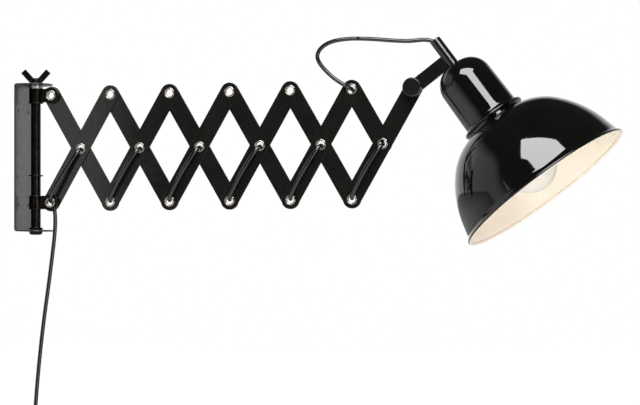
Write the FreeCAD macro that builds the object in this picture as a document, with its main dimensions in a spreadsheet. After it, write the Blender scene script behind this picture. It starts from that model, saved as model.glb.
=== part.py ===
import FreeCAD, Part
import math
import os
import Sketcher

# Accordion wall lamp.  Millimetres.  The origin is the middle of the four screw holes, on the
# back face of the wall bracket: +X points out of the wall along the arm, +Z is up.

# ---------------------------------------------------------------------------------------------
# Driving dimensions: name, value, meaning
# ---------------------------------------------------------------------------------------------
SIZES = [
    ("plate_height", 164.0, "wall bracket, over its two flanges"),
    ("plate_width", 46.0, "wall bracket, along the wall"),
    ("sheet_wall", 1.6, "sheet of the wall bracket"),
    ("bend_radius", 3.0, "outside radius of the bracket's bends"),
    ("flange_reach", 35.0, "wall to the round end of a flange"),
    ("screw_spread_y", 29.0, "screw holes, along the wall"),
    ("screw_spread_z", 104.0, "screw holes, up the wall"),
    ("screw_hole_radius", 2.1, "screw holes"),
    ("spindle_reach", 16.6, "wall to the spindle's axis"),
    ("spindle_radius", 5.5, "spindle rod"),
    ("stud_radius", 4.0, "thinned ends of the spindle"),
    ("stud_top_rise", 5.2, "stud above the top flange"),
    ("tenon_drop", 2.2, "stud below the bottom flange"),
    ("washer_thick", 1.8, "washers under the top flange"),
    ("washer_radius", 7.9, "washers under the top flange"),
    ("bush_radius", 8.0, "bush on the bottom flange"),
    ("bush_thick", 2.7, "flange of that bush"),
    ("bush_neck_radius", 5.9, "neck of that bush"),
    ("end_cap_radius", 7.4, "domed cap under the bottom flange"),
    ("end_cap_rise", 3.6, "domed cap under the bottom flange"),
    ("ring_radius", 8.25, "retaining rings"),
    ("ring_thick", 1.2, "retaining rings"),
    ("groove_depth", 0.6, "their grooves in the spindle"),
    ("stop_drop", 89.1, "top pivot down to the stop ring"),
    ("hub_radius", 7.75, "wing nut's hub"),
    ("hub_rise", 6.6, "wing nut's hub"),
    ("wing_width", 6.6, "a wing, across its face"),
    ("wing_thick", 2.8, "a wing"),
    ("wing_length", 14.4, "a wing, from inside the hub"),
    ("wing_lean_angle", 42.0, "a wing, degrees from upright"),
    ("wing_turn_angle", 20.0, "the wing nut at rest, degrees from the arm"),
    ("knuckle_rise", 15.0, "knuckle's collar along the spindle"),
    ("knuckle_wall", 2.0, "strap that a knuckle is wrapped from"),
    ("knuckle_reach", 17.8, "spindle to the knuckle's pivot"),
    ("knuckle_eye_radius", 9.2, "round end of a knuckle"),
    ("pivot_span", 68.8, "pivot to next pivot along a link"),
    ("rest_angle", 59.8, "links above the horizontal, degrees"),
    ("link_width", 20.0, "a link"),
    ("link_thick", 1.5, "a link"),
    ("link_gap", 0.3, "between neighbouring flat pieces"),
    ("edge_round", 0.3, "stamped edges of the links"),
    ("bore_radius", 4.1, "eyelet's bore"),
    ("eyelet_wall", 0.45, "eyelet's barrel"),
    ("rim_radius", 5.9, "eyelet's rolled rim"),
    ("rim_thick", 0.7, "eyelet's rolled rim"),
    ("seat_gap", 0.05, "rims and nuts on what they hold"),
    ("run_gap", 0.06, "running fits, on the radius"),
    ("tilt_screw_radius", 3.0, "screw of the tilt knob"),
    ("knob_radius", 10.3, "tilt knob"),
    ("knob_thick", 9.0, "tilt knob"),
    ("tilt_nut_radius", 5.8, "nut behind the strap, over its corners"),
    ("tilt_nut_thick", 5.0, "nut behind the strap"),
    ("strap_thick", 1.2, "head strap"),
    ("strap_width", 15.0, "head strap"),
    ("strap_reach", 49.0, "tilt pivot to the head's axis"),
    ("head_angle", 53.1, "the head's axis below the horizontal, degrees"),
    ("nipple_radius", 5.0, "threaded nipple"),
    ("nipple_bore", 3.5, "threaded nipple"),
    ("nipple_length", 48.0, "threaded nipple"),
    ("nipple_grip", 8.0, "nipple inside the cord grip"),
    ("nipple_nut_radius", 8.0, "nut inside the cap, over its corners"),
    ("nipple_nut_thick", 3.0, "nut inside the cap"),
    ("grip_radius", 6.2, "cord grip"),
    ("grip_length", 18.5, "cord grip"),
    ("shade_wall", 1.0, "spun shade"),
    ("cap_radius", 30.0, "shade cap under its dome"),
    ("cap_flare_radius", 31.0, "shade cap at its foot"),
    ("cap_dome_radius", 23.5, "rounding of the cap's top"),
    ("cap_length", 70.5, "cap's top to the ring"),
    ("cap_foot_radius", 3.5, "fillet between cap and ring"),
    ("ring_reach", 36.0, "ring between cap and bowl"),
    ("ring_height", 3.2, "that ring"),
    ("neck_radius", 31.5, "bowl's neck"),
    ("neck_length", 2.8, "bowl's neck below the ring"),
    ("shoulder_radius", 64.0, "bowl's shoulder, radius of its arc"),
    ("flank_radius", 112.0, "bowl's flank, radius of its arc"),
    ("shoulder_start_angle", 80.0, "outline's angle to the axis at the neck"),
    ("shoulder_end_angle", 42.0, "the same where shoulder meets flank"),
    ("skirt_angle", 14.0, "the same along the straight skirt"),
    ("skirt_length", 21.0, "straight skirt, along the slope"),
    ("rim_bead_radius", 1.6, "bead at the mouth"),
    ("holder_radius", 19.0, "lampholder's skirt"),
    ("holder_top_radius", 8.5, "lampholder's threaded entry"),
    ("holder_top_rise", 7.0, "lampholder's threaded entry"),
    ("holder_length", 58.0, "lampholder"),
    ("holder_well_radius", 14.2, "lampholder's screw shell"),
    ("holder_well_depth", 24.0, "lampholder's screw shell"),
    ("base_radius", 13.2, "bulb's screw base"),
    ("base_length", 25.0, "bulb's screw base with its contact"),
    ("globe_radius", 30.0, "bulb's globe"),
    ("globe_drop", 83.4, "bulb's contact to the globe's centre"),
    ("glass_wall", 0.9, "bulb's glass"),
    ("glass_neck_radius", 14.0, "glass at the screw base"),
    ("glass_neck_fillet", 42.0, "hollow curve from neck to globe"),
    ("cord_radius", 2.25, "mains cord"),
    ("cord_bend", 5.0, "cord's bend out of an eyelet"),
    ("cord_lift", 3.1, "cord's middle above a rim"),
    ("cord_bow", 1.0, "bow of the cord along a link"),
    ("cord_pull", 1.1, "how far the laced cord is pulled off an eyelet's axis"),
    ("coil_outer", 33.2, "put-away coil, middle of its outer turns"),
    ("coil_pitch", 5.0, "turn to turn and layer to layer"),
    ("coil_turns", 2.014, "turns in each of the four layers"),
    ("tie_width", 8.0, "tie round the coil"),
    ("tie_thick", 1.2, "tie round the coil"),
    ("plug_width", 35.0, "flat plug at its pins"),
    ("plug_neck", 13.0, "flat plug at its cord end"),
    ("plug_thick", 13.7, "flat plug"),
    ("plug_length", 33.0, "flat plug"),
    ("plug_square", 13.0, "full-width part of the plug"),
    ("relief_length", 20.0, "plug's strain relief"),
    ("relief_radius", 4.6, "strain relief at the plug"),
    ("pin_radius", 2.0, "plug's pins"),
    ("pin_length", 19.0, "plug's pins"),
    ("pin_spread", 18.6, "plug's pins, middle to middle"),
]

LINK_PAIRS = 6

doc = FreeCAD.newDocument("AccordionLamp")
sheet = doc.addObject("Spreadsheet::Sheet", "Sizes")
for row, (alias, value, meaning) in enumerate(SIZES, start=1):
    sheet.set(f"A{row}", alias)
    sheet.set(f"B{row}", str(value))
    sheet.set(f"C{row}", meaning)
    sheet.setAlias(f"B{row}", alias)
doc.recompute()


class Size:
    """A length or an angle: its number, and the formula on the sheet that gives it."""

    def __init__(self, number, formula):
        self.number = float(number)
        self.formula = formula

    def __add__(self, other):
        other = as_size(other)
        return Size(self.number + other.number, f"({self.formula} + {other.formula})")

    def __sub__(self, other):
        other = as_size(other)
        return Size(self.number - other.number, f"({self.formula} - {other.formula})")

    def __mul__(self, other):
        other = as_size(other)
        return Size(self.number * other.number, f"({self.formula} * {other.formula})")

    def __truediv__(self, other):
        other = as_size(other)
        return Size(self.number / other.number, f"({self.formula} / {other.formula})")

    def __neg__(self):
        return Size(-self.number, f"(0 - {self.formula})")

    __radd__ = __add__
    __rmul__ = __mul__


def as_size(value):
    return value if isinstance(value, Size) else Size(value, f"({float(value)!r})")


def sine(angle):
    return Size(math.sin(math.radians(angle.number)), f"sin({angle.formula})")


def cosine(angle):
    return Size(math.cos(math.radians(angle.number)), f"cos({angle.formula})")


def root(value):
    return Size(math.sqrt(value.number), f"sqrt({value.formula})")


class Dimensions:
    """The sheet's values by name."""


dim = Dimensions()
for alias, value, meaning in SIZES:
    setattr(dim, alias, Size(value, f"Sizes.{alias}"))

# ---------------------------------------------------------------------------------------------
# Places that follow from the driving dimensions
# ---------------------------------------------------------------------------------------------
half_height = dim.plate_height / 2
flange_under = half_height - dim.sheet_wall
knuckle_top = flange_under - 2 * dim.washer_thick - dim.link_gap / 2
top_pivot_z = knuckle_top - dim.knuckle_rise / 2
pivot_x = dim.spindle_reach + dim.knuckle_reach
step_x = dim.pivot_span * cosine(dim.rest_angle)
step_z = dim.pivot_span * sine(dim.rest_angle)
bottom_pivot_z = top_pivot_z - 2 * step_z

tab_thick = 2 * dim.knuckle_wall
collar_bore = dim.spindle_radius + dim.run_gap
collar_radius = collar_bore + dim.knuckle_wall
# The two knuckles are one part, turned over: their tabs lie on either side of the spindle.
arm_y = (tab_thick + dim.link_thick + 2 * dim.link_gap) / 2
tab_y = arm_y - dim.link_gap / 2 - tab_thick / 2
rear_y = arm_y + dim.link_gap / 2
front_y = arm_y - dim.link_gap / 2 - dim.link_thick
rim_back_y = rear_y + dim.link_thick + dim.seat_gap
rim_front_y = front_y - dim.seat_gap

tilt_x = pivot_x + 2 * LINK_PAIRS * step_x
head_y = front_y + dim.link_thick / 2
lean = 90 + (-dim.head_angle)
head_x = tilt_x + dim.strap_reach * cosine(lean)
head_z = top_pivot_z + dim.strap_reach * sine(lean)

nodes = []


# ---------------------------------------------------------------------------------------------
# Helpers
# ---------------------------------------------------------------------------------------------
def vector(x, y, z):
    return FreeCAD.Vector(as_size(x).number, as_size(y).number, as_size(z).number)


def place(thing, at=(0, 0, 0), axis=(0, 0, 1), angle=0):
    """Put a piece at a point, turned about an axis, both tied to the sheet."""
    angle = as_size(angle)
    turn = FreeCAD.Rotation(FreeCAD.Vector(*axis), angle.number)
    thing.Placement = FreeCAD.Placement(vector(*at), turn)
    for letter, value in zip("xyz", at):
        if isinstance(value, Size):
            thing.setExpression(f".Placement.Base.{letter}", value.formula)
    if "Sizes." in angle.formula:
        thing.setExpression(".Placement.Rotation.Angle", angle.formula)
    return thing


def keep(thing, name):
    """Name a finished piece: it becomes a node of the lamp."""
    thing.Label = name
    nodes.append(thing)
    return thing


def bound(kind, name, at=(0, 0, 0), axis=(0, 0, 1), angle=0, **sizes):
    """A Part primitive whose sizes are tied to the sheet."""
    thing = doc.addObject(kind, name)
    for key, value in sizes.items():
        value = as_size(value)
        if "Sizes." in value.formula:
            thing.setExpression(key, value.formula)
        else:
            setattr(thing, key, value.number)
    return place(thing, at, axis, angle)


def cylinder(name, radius, height, at=(0, 0, 0), axis=(0, 0, 1), angle=0):
    return bound("Part::Cylinder", name, at, axis, angle, Radius=radius, Height=height)


def box(name, length, width, height, at=(0, 0, 0), axis=(0, 0, 1), angle=0):
    return bound("Part::Box", name, at, axis, angle, Length=length, Width=width, Height=height)


def across(name, radius, y_low, y_high, x=0, z=0):
    """A cylinder along Y, from y_low to y_high."""
    return cylinder(name, radius, as_size(y_high) - y_low, (x, y_high, z), (1, 0, 0), 90)


def fuse(name, *shapes):
    thing = doc.addObject("Part::MultiFuse", name)
    thing.Shapes = list(shapes)
    return thing


def cut(name, base, *tools):
    thing = doc.addObject("Part::Cut", name)
    thing.Base = base
    thing.Tool = tools[0] if len(tools) == 1 else fuse(name + "Tools", *tools)
    return thing


def group(name, *shapes):
    """Separate solids of identical pieces, kept as one node."""
    thing = doc.addObject("Part::Compound", name)
    thing.Links = list(shapes)
    return thing


def new_sketch(name, plane):
    body = doc.addObject("PartDesign::Body", name)
    sketch = body.newObject("Sketcher::SketchObject", name + "Sketch")
    origin_plane = [f for f in body.Origin.OriginFeatures if f.Role == plane][0]
    sketch.AttachmentSupport = [(origin_plane, "")]
    sketch.MapMode = "FlatFace"
    return body, sketch


def tie(sketch, kind, value, *where):
    index = sketch.addConstraint(Sketcher.Constraint(kind, *where, value.number))
    if "Sizes." in value.formula:
        sketch.setExpression(f"Constraints[{index}]", value.formula)


def draw_outline(sketch, points):
    """A closed outline.  A point is (x, y), reached by a line, or (x, y, radius, turn), reached
    by an arc that turns left (1) or right (-1).  The last point joins up with the first."""
    count = len(points)
    first = sketch.GeometryCount
    ends = []
    for index, point in enumerate(points):
        before = points[index - 1]
        start = vector(before[0], before[1], 0)
        stop = vector(point[0], point[1], 0)
        if len(point) == 2:
            sketch.addGeometry(Part.LineSegment(start, stop))
            ends.append((1, 2))
            continue
        radius = as_size(point[2]).number
        chord = stop - start
        rise = math.sqrt(max(radius ** 2 - (chord.Length / 2) ** 2, 0))
        side = FreeCAD.Vector(-chord.y, chord.x, 0).normalize() * (rise * point[3])
        centre = (start + stop) / 2 + side
        low, high = (start, stop) if point[3] > 0 else (stop, start)
        circle = Part.Circle(centre, FreeCAD.Vector(0, 0, 1), radius)
        low_angle = math.atan2(low.y - centre.y, low.x - centre.x)
        high_angle = math.atan2(high.y - centre.y, high.x - centre.x)
        if high_angle < low_angle:
            high_angle += 2 * math.pi
        sketch.addGeometry(Part.ArcOfCircle(circle, low_angle, high_angle))
        ends.append((1, 2) if point[3] > 0 else (2, 1))
    for index, point in enumerate(points):
        edge = first + index
        following = first + (index + 1) % count
        sketch.addConstraint(Sketcher.Constraint(
            "Coincident", edge, ends[index][1], following, ends[(index + 1) % count][0]))
        tie(sketch, "DistanceX", as_size(point[0]), -1, 1, edge, ends[index][1])
        tie(sketch, "DistanceY", as_size(point[1]), -1, 1, edge, ends[index][1])
        if len(point) == 4:
            tie(sketch, "Radius", as_size(point[2]), edge)


def draw_hole(sketch, x, y, radius):
    x, y, radius = as_size(x), as_size(y), as_size(radius)
    circle = Part.Circle(vector(x, y, 0), FreeCAD.Vector(0, 0, 1), radius.number)
    index = sketch.addGeometry(circle)
    tie(sketch, "DistanceX", x, -1, 1, index, 3)
    tie(sketch, "DistanceY", y, -1, 1, index, 3)
    tie(sketch, "Radius", radius, index)


def turned(name, points):
    """A turned piece: points are (radius, height) in its XZ plane, spun about its Z axis."""
    body, sketch = new_sketch(name, "XZ_Plane")
    draw_outline(sketch, points)
    spin = body.newObject("PartDesign::Revolution", name + "Spin")
    spin.Profile = sketch
    spin.ReferenceAxis = (sketch, ["V_Axis"])
    spin.Angle = 360
    sketch.Visibility = False
    return body


def padded(name, plane, points, thick, holes=(), middle=False):
    """A flat piece: an outline with round holes, given a thickness."""
    body, sketch = new_sketch(name, plane)
    draw_outline(sketch, points)
    for hole in holes:
        draw_hole(sketch, *hole)
    pad = body.newObject("PartDesign::Pad", name + "Pad")
    pad.Profile = sketch
    thick = as_size(thick)
    if "Sizes." in thick.formula:
        pad.setExpression("Length", thick.formula)
    else:
        pad.Length = thick.number
    pad.Midplane = middle
    return body, pad


def round_edges(body, feature, radius, wanted):
    """Fillet the edges of a feature that a test picks out."""
    doc.recompute()
    names = [f"Edge{i}" for i, edge in enumerate(feature.Shape.Edges, start=1) if wanted(edge)]
    fillet = body.newObject("PartDesign::Fillet", feature.Name + "Round")
    fillet.Base = (feature, names)
    fillet.setExpression("Radius", radius.formula)
    return fillet


def slot_outline(length, radius):
    """A strip with fully rounded ends, from one end's centre to the other's."""
    return [
        (length, -radius),
        (length + radius, 0, radius, 1),
        (length, radius, radius, 1),
        (0, radius),
        (-radius, 0, radius, 1),
        (0, -radius, radius, 1),
    ]


# ---------------------------------------------------------------------------------------------
# Wall bracket: a C of sheet, its flanges round-ended in plan
# ---------------------------------------------------------------------------------------------
def wall_bracket():
    wall = dim.sheet_wall
    outer, inner = dim.bend_radius, dim.bend_radius - wall
    reach, top = dim.flange_reach, half_height
    section = [
        (0, outer - top),
        (outer, -top, outer, 1),
        (reach, -top),
        (reach, wall - top),
        (outer, wall - top),
        (wall, outer - top, inner, -1),
        (wall, top - outer),
        (outer, top - wall, inner, -1),
        (reach, top - wall),
        (reach, top),
        (outer, top),
        (0, top - outer, outer, 1),
    ]
    channel, _ = padded("Channel", "XZ_Plane", section, dim.plate_width, middle=True)
    half_width = dim.plate_width / 2
    middle_x = reach - half_width
    plan_box = box("PlanBox", middle_x, dim.plate_width, dim.plate_height, (0, -half_width, -top))
    plan_end = cylinder("PlanEnd", half_width, dim.plate_height, (middle_x, 0, -top))
    rounded = doc.addObject("Part::MultiCommon", "RoundedChannel")
    rounded.Shapes = [channel, fuse("Plan", plan_box, plan_end)]
    holes = []
    for side in (-1, 1):
        for level in (-1, 1):
            at = (0, side * dim.screw_spread_y / 2, level * dim.screw_spread_z / 2)
            holes.append(cylinder("ScrewHole", dim.screw_hole_radius, wall, at, (0, 1, 0), 90))
    stud_hole = dim.stud_radius + dim.run_gap
    neck_hole = dim.bush_neck_radius + dim.run_gap
    axis_x = dim.spindle_reach
    holes.append(cylinder("StudHole", stud_hole, wall, (axis_x, 0, top - wall)))
    holes.append(cylinder("NeckHole", neck_hole, wall, (axis_x, 0, -top)))
    keep(cut("Bracket", rounded, *holes), "wall_bracket")


wall_bracket()


# ---------------------------------------------------------------------------------------------
# Spindle and what sits on it
# ---------------------------------------------------------------------------------------------
ring_bore = dim.spindle_radius - dim.groove_depth + dim.run_gap
upper_ring_top = top_pivot_z - dim.knuckle_rise / 2 - dim.link_gap / 2
stop_ring_top = top_pivot_z - dim.stop_drop + dim.ring_thick / 2
spindle_at = (dim.spindle_reach, 0, 0)


def spindle():
    rod, stud = dim.spindle_radius, dim.stud_radius
    groove = rod - dim.groove_depth
    slack = dim.seat_gap
    foot = -flange_under + dim.bush_thick
    shoulder = flange_under - 2 * dim.washer_thick
    outline = [(0, -half_height - dim.tenon_drop), (stud, -half_height - dim.tenon_drop),
               (stud, foot), (rod, foot)]
    for ring_top in (stop_ring_top, upper_ring_top):
        low, high = ring_top - dim.ring_thick - slack, ring_top + slack
        outline += [(rod, low), (groove, low), (groove, high), (rod, high)]
    outline += [(rod, shoulder), (stud, shoulder), (stud, half_height + dim.stud_top_rise),
                (0, half_height + dim.stud_top_rise)]
    keep(place(turned("Spindle", outline), spindle_at), "spindle")


def spindle_washers():
    washers = []
    bore = dim.stud_radius + dim.run_gap
    for index in range(2):
        low = flange_under - (index + 1) * dim.washer_thick
        edge = dim.washer_thick / 4
        high = low + dim.washer_thick
        outer = dim.washer_radius
        outline = [(bore, low), (outer - edge, low), (outer, low + edge), (outer, high - edge),
                   (outer - edge, high), (bore, high)]
        washers.append(place(turned("Washer", outline), spindle_at))
    keep(group("Washers", *washers), "spindle_washers")


def spindle_bush():
    low, seat, high = -half_height, -flange_under, -flange_under + dim.bush_thick
    bore = dim.stud_radius + dim.run_gap
    neck, outer = dim.bush_neck_radius, dim.bush_radius
    outline = [(bore, low), (neck, low), (neck, seat), (outer - dim.bush_thick / 2, seat),
               (outer, high - dim.bush_thick / 3), (outer, high), (bore, high)]
    keep(place(turned("Bush", outline), spindle_at), "spindle_bush")


def spindle_cap():
    high = -half_height - dim.seat_gap
    low = high - dim.end_cap_rise
    bore = dim.stud_radius + dim.run_gap
    well = -half_height - dim.tenon_drop - dim.seat_gap
    outer, dome = dim.end_cap_radius, dim.end_cap_rise * 0.8
    outline = [(0, low), (outer - dome, low), (outer, low + dome, dome, 1), (outer, high),
               (bore, high), (bore, well), (0, well)]
    keep(place(turned("EndCap", outline), spindle_at), "spindle_cap")


def retaining_rings():
    rings = []
    for ring_top in (upper_ring_top, stop_ring_top):
        low = ring_top - dim.ring_thick
        disc = cylinder("RingDisc", dim.ring_radius, dim.ring_thick, (dim.spindle_reach, 0, low))
        hole = cylinder("RingHole", ring_bore, dim.ring_thick, (dim.spindle_reach, 0, low))
        mouth = box("RingMouth", dim.ring_radius, 2 * ring_bore * 0.6, dim.ring_thick,
                    (dim.spindle_reach - dim.ring_radius, -ring_bore * 0.6, low))
        rings.append(cut("Ring", disc, hole, mouth))
    keep(group("Rings", *rings), "retaining_rings")


def wing_nut():
    low = half_height + dim.seat_gap
    high = half_height + dim.hub_rise
    bore = dim.stud_radius + dim.run_gap
    well = half_height + dim.stud_top_rise + dim.seat_gap
    outer = dim.hub_radius
    dome = dim.hub_rise * 0.4
    foot = dim.hub_rise * 0.22
    inset = dim.hub_rise * 0.12
    outline = [(bore, low), (outer, low), (outer, low + foot), (outer - inset, low + foot),
               (outer - inset, high - dome), (outer - inset - dome, high, dome, 1), (0, high),
               (0, well), (bore, well)]
    hub = turned("Hub", outline)
    wings = []
    for side in (-1, 1):
        bar = doc.addObject("Part::Box", "Wing")
        bar.setExpression("Length", dim.wing_width.formula)
        bar.setExpression("Width", dim.wing_thick.formula)
        bar.setExpression("Height", dim.wing_length.formula)
        middle = dim.hub_radius * 0.55
        across_x = dim.wing_width / 2 * cosine(dim.wing_lean_angle)
        drop = dim.wing_width / 2 * sine(dim.wing_lean_angle)
        start_x = middle * side - across_x
        start_z = low + foot + (drop if side > 0 else -drop) + dim.wing_width / 3
        place(bar, (start_x, -dim.wing_thick / 2, start_z), (0, side, 0), dim.wing_lean_angle)
        wings.append(bar)
    whole = fuse("WingNut", hub, *wings)
    bored = cut("WingNutBored", whole, cylinder("WingNutBore", bore, well - low, (0, 0, low)))
    keep(place(bored, spindle_at, (0, 0, 1), dim.wing_turn_angle), "wing_nut")


spindle()
spindle_washers()
spindle_bush()
spindle_cap()
retaining_rings()
wing_nut()


# ---------------------------------------------------------------------------------------------
# Knuckles: a strap wrapped round the spindle, its tails side by side as a tab with a round eye
# ---------------------------------------------------------------------------------------------
def knuckle(name, side, height, pivot_z):
    """side is 1 for the upper knuckle and -1 for the lower one, which is the same part turned."""
    rise, middle = dim.knuckle_rise, side * tab_y
    low_y, high_y = middle - tab_thick / 2, middle + tab_thick / 2
    collar = cylinder(name + "Collar", collar_radius, rise, (0, 0, -rise / 2))
    tab = box(name + "Tab", dim.knuckle_reach, tab_thick, rise, (0, low_y, -rise / 2))
    eye = across(name + "Eye", dim.knuckle_eye_radius, low_y, high_y, dim.knuckle_reach)
    bore = cylinder(name + "Bore", collar_bore, rise, (0, 0, -rise / 2))
    hole_radius = dim.bore_radius + dim.eyelet_wall + dim.run_gap
    hole = across(name + "Hole", hole_radius, low_y, high_y, dim.knuckle_reach)
    slit_x = dim.knuckle_reach - dim.knuckle_eye_radius - dim.link_gap
    slit = box(name + "Slit", slit_x, dim.link_gap, rise, (0, middle - dim.link_gap / 2, -rise / 2))
    whole = cut(name, fuse(name + "Blank", collar, tab, eye), bore, hole, slit)
    keep(place(whole, (dim.spindle_reach, 0, pivot_z)), height + "_knuckle")


knuckle("UpperKnuckle", 1, "upper", top_pivot_z)
knuckle("LowerKnuckle", -1, "lower", bottom_pivot_z)

# ---------------------------------------------------------------------------------------------
# Scissor links: flat bars, front ones rising and rear ones falling away from the wall
# ---------------------------------------------------------------------------------------------
link_half = dim.link_width / 2
barrel_radius = dim.bore_radius + dim.eyelet_wall
pivot_hole = barrel_radius + dim.run_gap
screw_hole = dim.tilt_screw_radius + dim.run_gap


def link(name, spans, last_hole, at, axis):
    length = spans * dim.pivot_span
    holes = [(0, 0, pivot_hole)]
    if spans == 2:
        holes.append((dim.pivot_span, 0, pivot_hole))
    holes.append((length, 0, last_hole))
    body, pad = padded(name, "XZ_Plane", slot_outline(length, link_half), dim.link_thick, holes)

    def is_outer(edge):
        if edge.BoundBox.YLength > 0.01:
            return False
        centre = getattr(edge.Curve, "Center", None)
        return centre is None or abs(edge.Curve.Radius - link_half.number) < 0.01

    round_edges(body, pad, dim.edge_round, is_outer)
    return place(body, at, axis, dim.rest_angle)


for pair in range(1, LINK_PAIRS + 1):
    near_x = pivot_x + 2 * (pair - 1) * step_x
    # A pad on the XZ plane grows towards -Y, so each link starts from its rear face.
    rear_at = (near_x, rear_y + dim.link_thick, top_pivot_z)
    front_at = (near_x, front_y + dim.link_thick, bottom_pivot_z)
    rear_spans = 2 if pair < LINK_PAIRS else 1
    front_end = pivot_hole if pair < LINK_PAIRS else screw_hole
    keep(link(f"RearLink{pair}", rear_spans, pivot_hole, rear_at, (0, 1, 0)), f"rear_link_{pair}")
    keep(link(f"FrontLink{pair}", 2, front_end, front_at, (0, -1, 0)), f"front_link_{pair}")


# ---------------------------------------------------------------------------------------------
# Hollow eyelets: a barrel with a rolled rim at each end
# ---------------------------------------------------------------------------------------------
def eyelet(name, x, z, low_y, high_y):
    """low_y and high_y are the faces that the two rims hold together."""
    bore, barrel, rim, lip = dim.bore_radius, barrel_radius, dim.rim_radius, dim.rim_thick
    total = high_y - low_y
    inner = lip * 0.6
    outline = [
        (rim - lip, -lip), (rim, 0, lip, 1), (barrel, 0),
        (barrel, total), (rim, total), (rim - lip, total + lip, lip, 1),
        (bore + inner, total + lip), (bore, total + lip - inner, inner, 1),
        (bore, inner - lip), (bore + inner, -lip, inner, 1),
    ]
    return place(turned(name, outline), (x, high_y, z), (1, 0, 0), 90)


for pair in range(1, LINK_PAIRS + 1):
    near_x = pivot_x + 2 * (pair - 1) * step_x
    near_front = rim_front_y if pair > 1 else tab_y - tab_thick / 2 - dim.seat_gap
    parts = [
        eyelet(f"Top{pair}", near_x, top_pivot_z, near_front, rim_back_y),
        eyelet(f"Middle{pair}", near_x + step_x, top_pivot_z - step_z, rim_front_y, rim_back_y),
    ]
    if pair < LINK_PAIRS:
        far_x = near_x + 2 * step_x
        parts.append(eyelet(f"Bottom{pair}", far_x, bottom_pivot_z, rim_front_y, rim_back_y))
    keep(group(f"Eyelets{pair}", *parts), f"eyelets_{pair}")

lower_tab_front = -tab_y - tab_thick / 2 - dim.seat_gap
lower_rim_back = front_y + dim.link_thick + dim.seat_gap
keep(eyelet("KnuckleEyelet", pivot_x, bottom_pivot_z, lower_tab_front, lower_rim_back),
     "knuckle_eyelet")

# ---------------------------------------------------------------------------------------------
# Head.  Its own frame has its origin at the tilt pivot's height on the head's axis; its Z axis
# runs back along the shade's axis, and its X axis points from the pivot to that axis.
# ---------------------------------------------------------------------------------------------
head_at = (head_x, head_y, head_z)
pivot_at = (tilt_x, head_y, top_pivot_z)
tilt_axis = (0, -1, 0)
half_strap = dim.strap_width / 2
leg_inner = dim.link_thick / 2 + dim.link_gap / 2
leg_outer = leg_inner + dim.strap_thick
grip_low = half_strap + dim.link_gap
grip_high = grip_low + dim.grip_length
cap_top = -half_strap - dim.link_gap
cap_foot = cap_top - dim.cap_length
ring_low = cap_foot - dim.ring_height
neck_low = ring_low - dim.neck_length
nipple_high = grip_low + dim.nipple_grip
nipple_low = nipple_high - dim.nipple_length


def head_piece(thing, name):
    return keep(place(thing, head_at, tilt_axis, lean), name)


def pivot_piece(thing, name):
    return keep(place(thing, pivot_at, tilt_axis, lean), name)


def head_strap():
    wrap = dim.nipple_radius + dim.run_gap + dim.strap_thick
    reach, width = dim.strap_reach, dim.strap_width
    loop = cylinder("StrapLoop", wrap, width, (reach, 0, -half_strap))
    legs = box("StrapLegs", reach, 2 * leg_outer, width, (0, -leg_outer, -half_strap))
    ends = across("StrapEnds", half_strap, -leg_outer, leg_outer)
    bore = cylinder("StrapBore", dim.nipple_radius + dim.run_gap, width, (reach, 0, -half_strap))
    gap = box("StrapGap", reach + half_strap, 2 * leg_inner, width,
              (-half_strap, -leg_inner, -half_strap))
    hole = across("StrapHole", screw_hole, -leg_outer, leg_outer)
    pivot_piece(cut("Strap", fuse("StrapBlank", loop, legs, ends), bore, gap, hole), "head_strap")


def tilt_clamp():
    face = leg_outer + dim.seat_gap
    knob_far = face + dim.knob_thick
    edge = dim.knob_thick / 6
    well = face + dim.knob_thick * 0.7
    radius, knob = dim.tilt_screw_radius, dim.knob_radius
    outline = [(screw_hole, face), (knob, face), (knob, knob_far - edge),
               (knob - edge, knob_far, edge, 1), (0, knob_far), (0, well), (screw_hole, well)]
    # Turned about Y: the knob's own Z axis comes to point at the viewer, towards -Y.
    spun = turned("Knob", outline)
    place(spun, (0, 0, 0), (1, 0, 0), 90)
    pivot_piece(group("KnobPlaced", spun), "tilt_knob")
    nut_far = leg_outer + dim.tilt_nut_thick + 2 * dim.seat_gap
    screw = across("TiltScrew", radius, -well + dim.seat_gap, nut_far + dim.link_thick)
    pivot_piece(group("TiltScrewPlaced", screw), "tilt_screw")
    nut = bound("Part::Prism", "TiltNutBlank", (0, nut_far, 0), (1, 0, 0), 90,
                Circumradius=dim.tilt_nut_radius, Height=dim.tilt_nut_thick)
    nut.Polygon = 6
    hole = across("TiltNutHole", screw_hole, leg_outer, nut_far)
    pivot_piece(cut("TiltNut", nut, hole), "tilt_nut")


def cord_grip():
    bore = dim.nipple_radius + dim.run_gap
    outer, edge = dim.grip_radius, dim.edge_round
    outline = [(bore, grip_low), (outer, grip_low), (outer, grip_high - edge),
               (outer - edge, grip_high, edge, 1), (bore, grip_high)]
    head_piece(turned("Grip", outline), "cord_grip")


def nipple():
    outer, bore = dim.nipple_radius, dim.nipple_bore
    outline = [(bore, nipple_low), (outer, nipple_low), (outer, nipple_high), (bore, nipple_high)]
    head_piece(turned("Nipple", outline), "nipple")


def nipple_nut():
    high = cap_top - dim.shade_wall - dim.seat_gap
    low = high - dim.nipple_nut_thick
    blank = bound("Part::Prism", "NippleNutBlank", (0, 0, low),
                  Circumradius=dim.nipple_nut_radius, Height=dim.nipple_nut_thick)
    blank.Polygon = 6
    hole = cylinder("NippleNutHole", dim.nipple_radius + dim.run_gap, dim.nipple_nut_thick,
                    (0, 0, low))
    head_piece(cut("NippleNut", blank, hole), "nipple_nut")


head_strap()
tilt_clamp()
cord_grip()
nipple()
nipple_nut()


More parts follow.
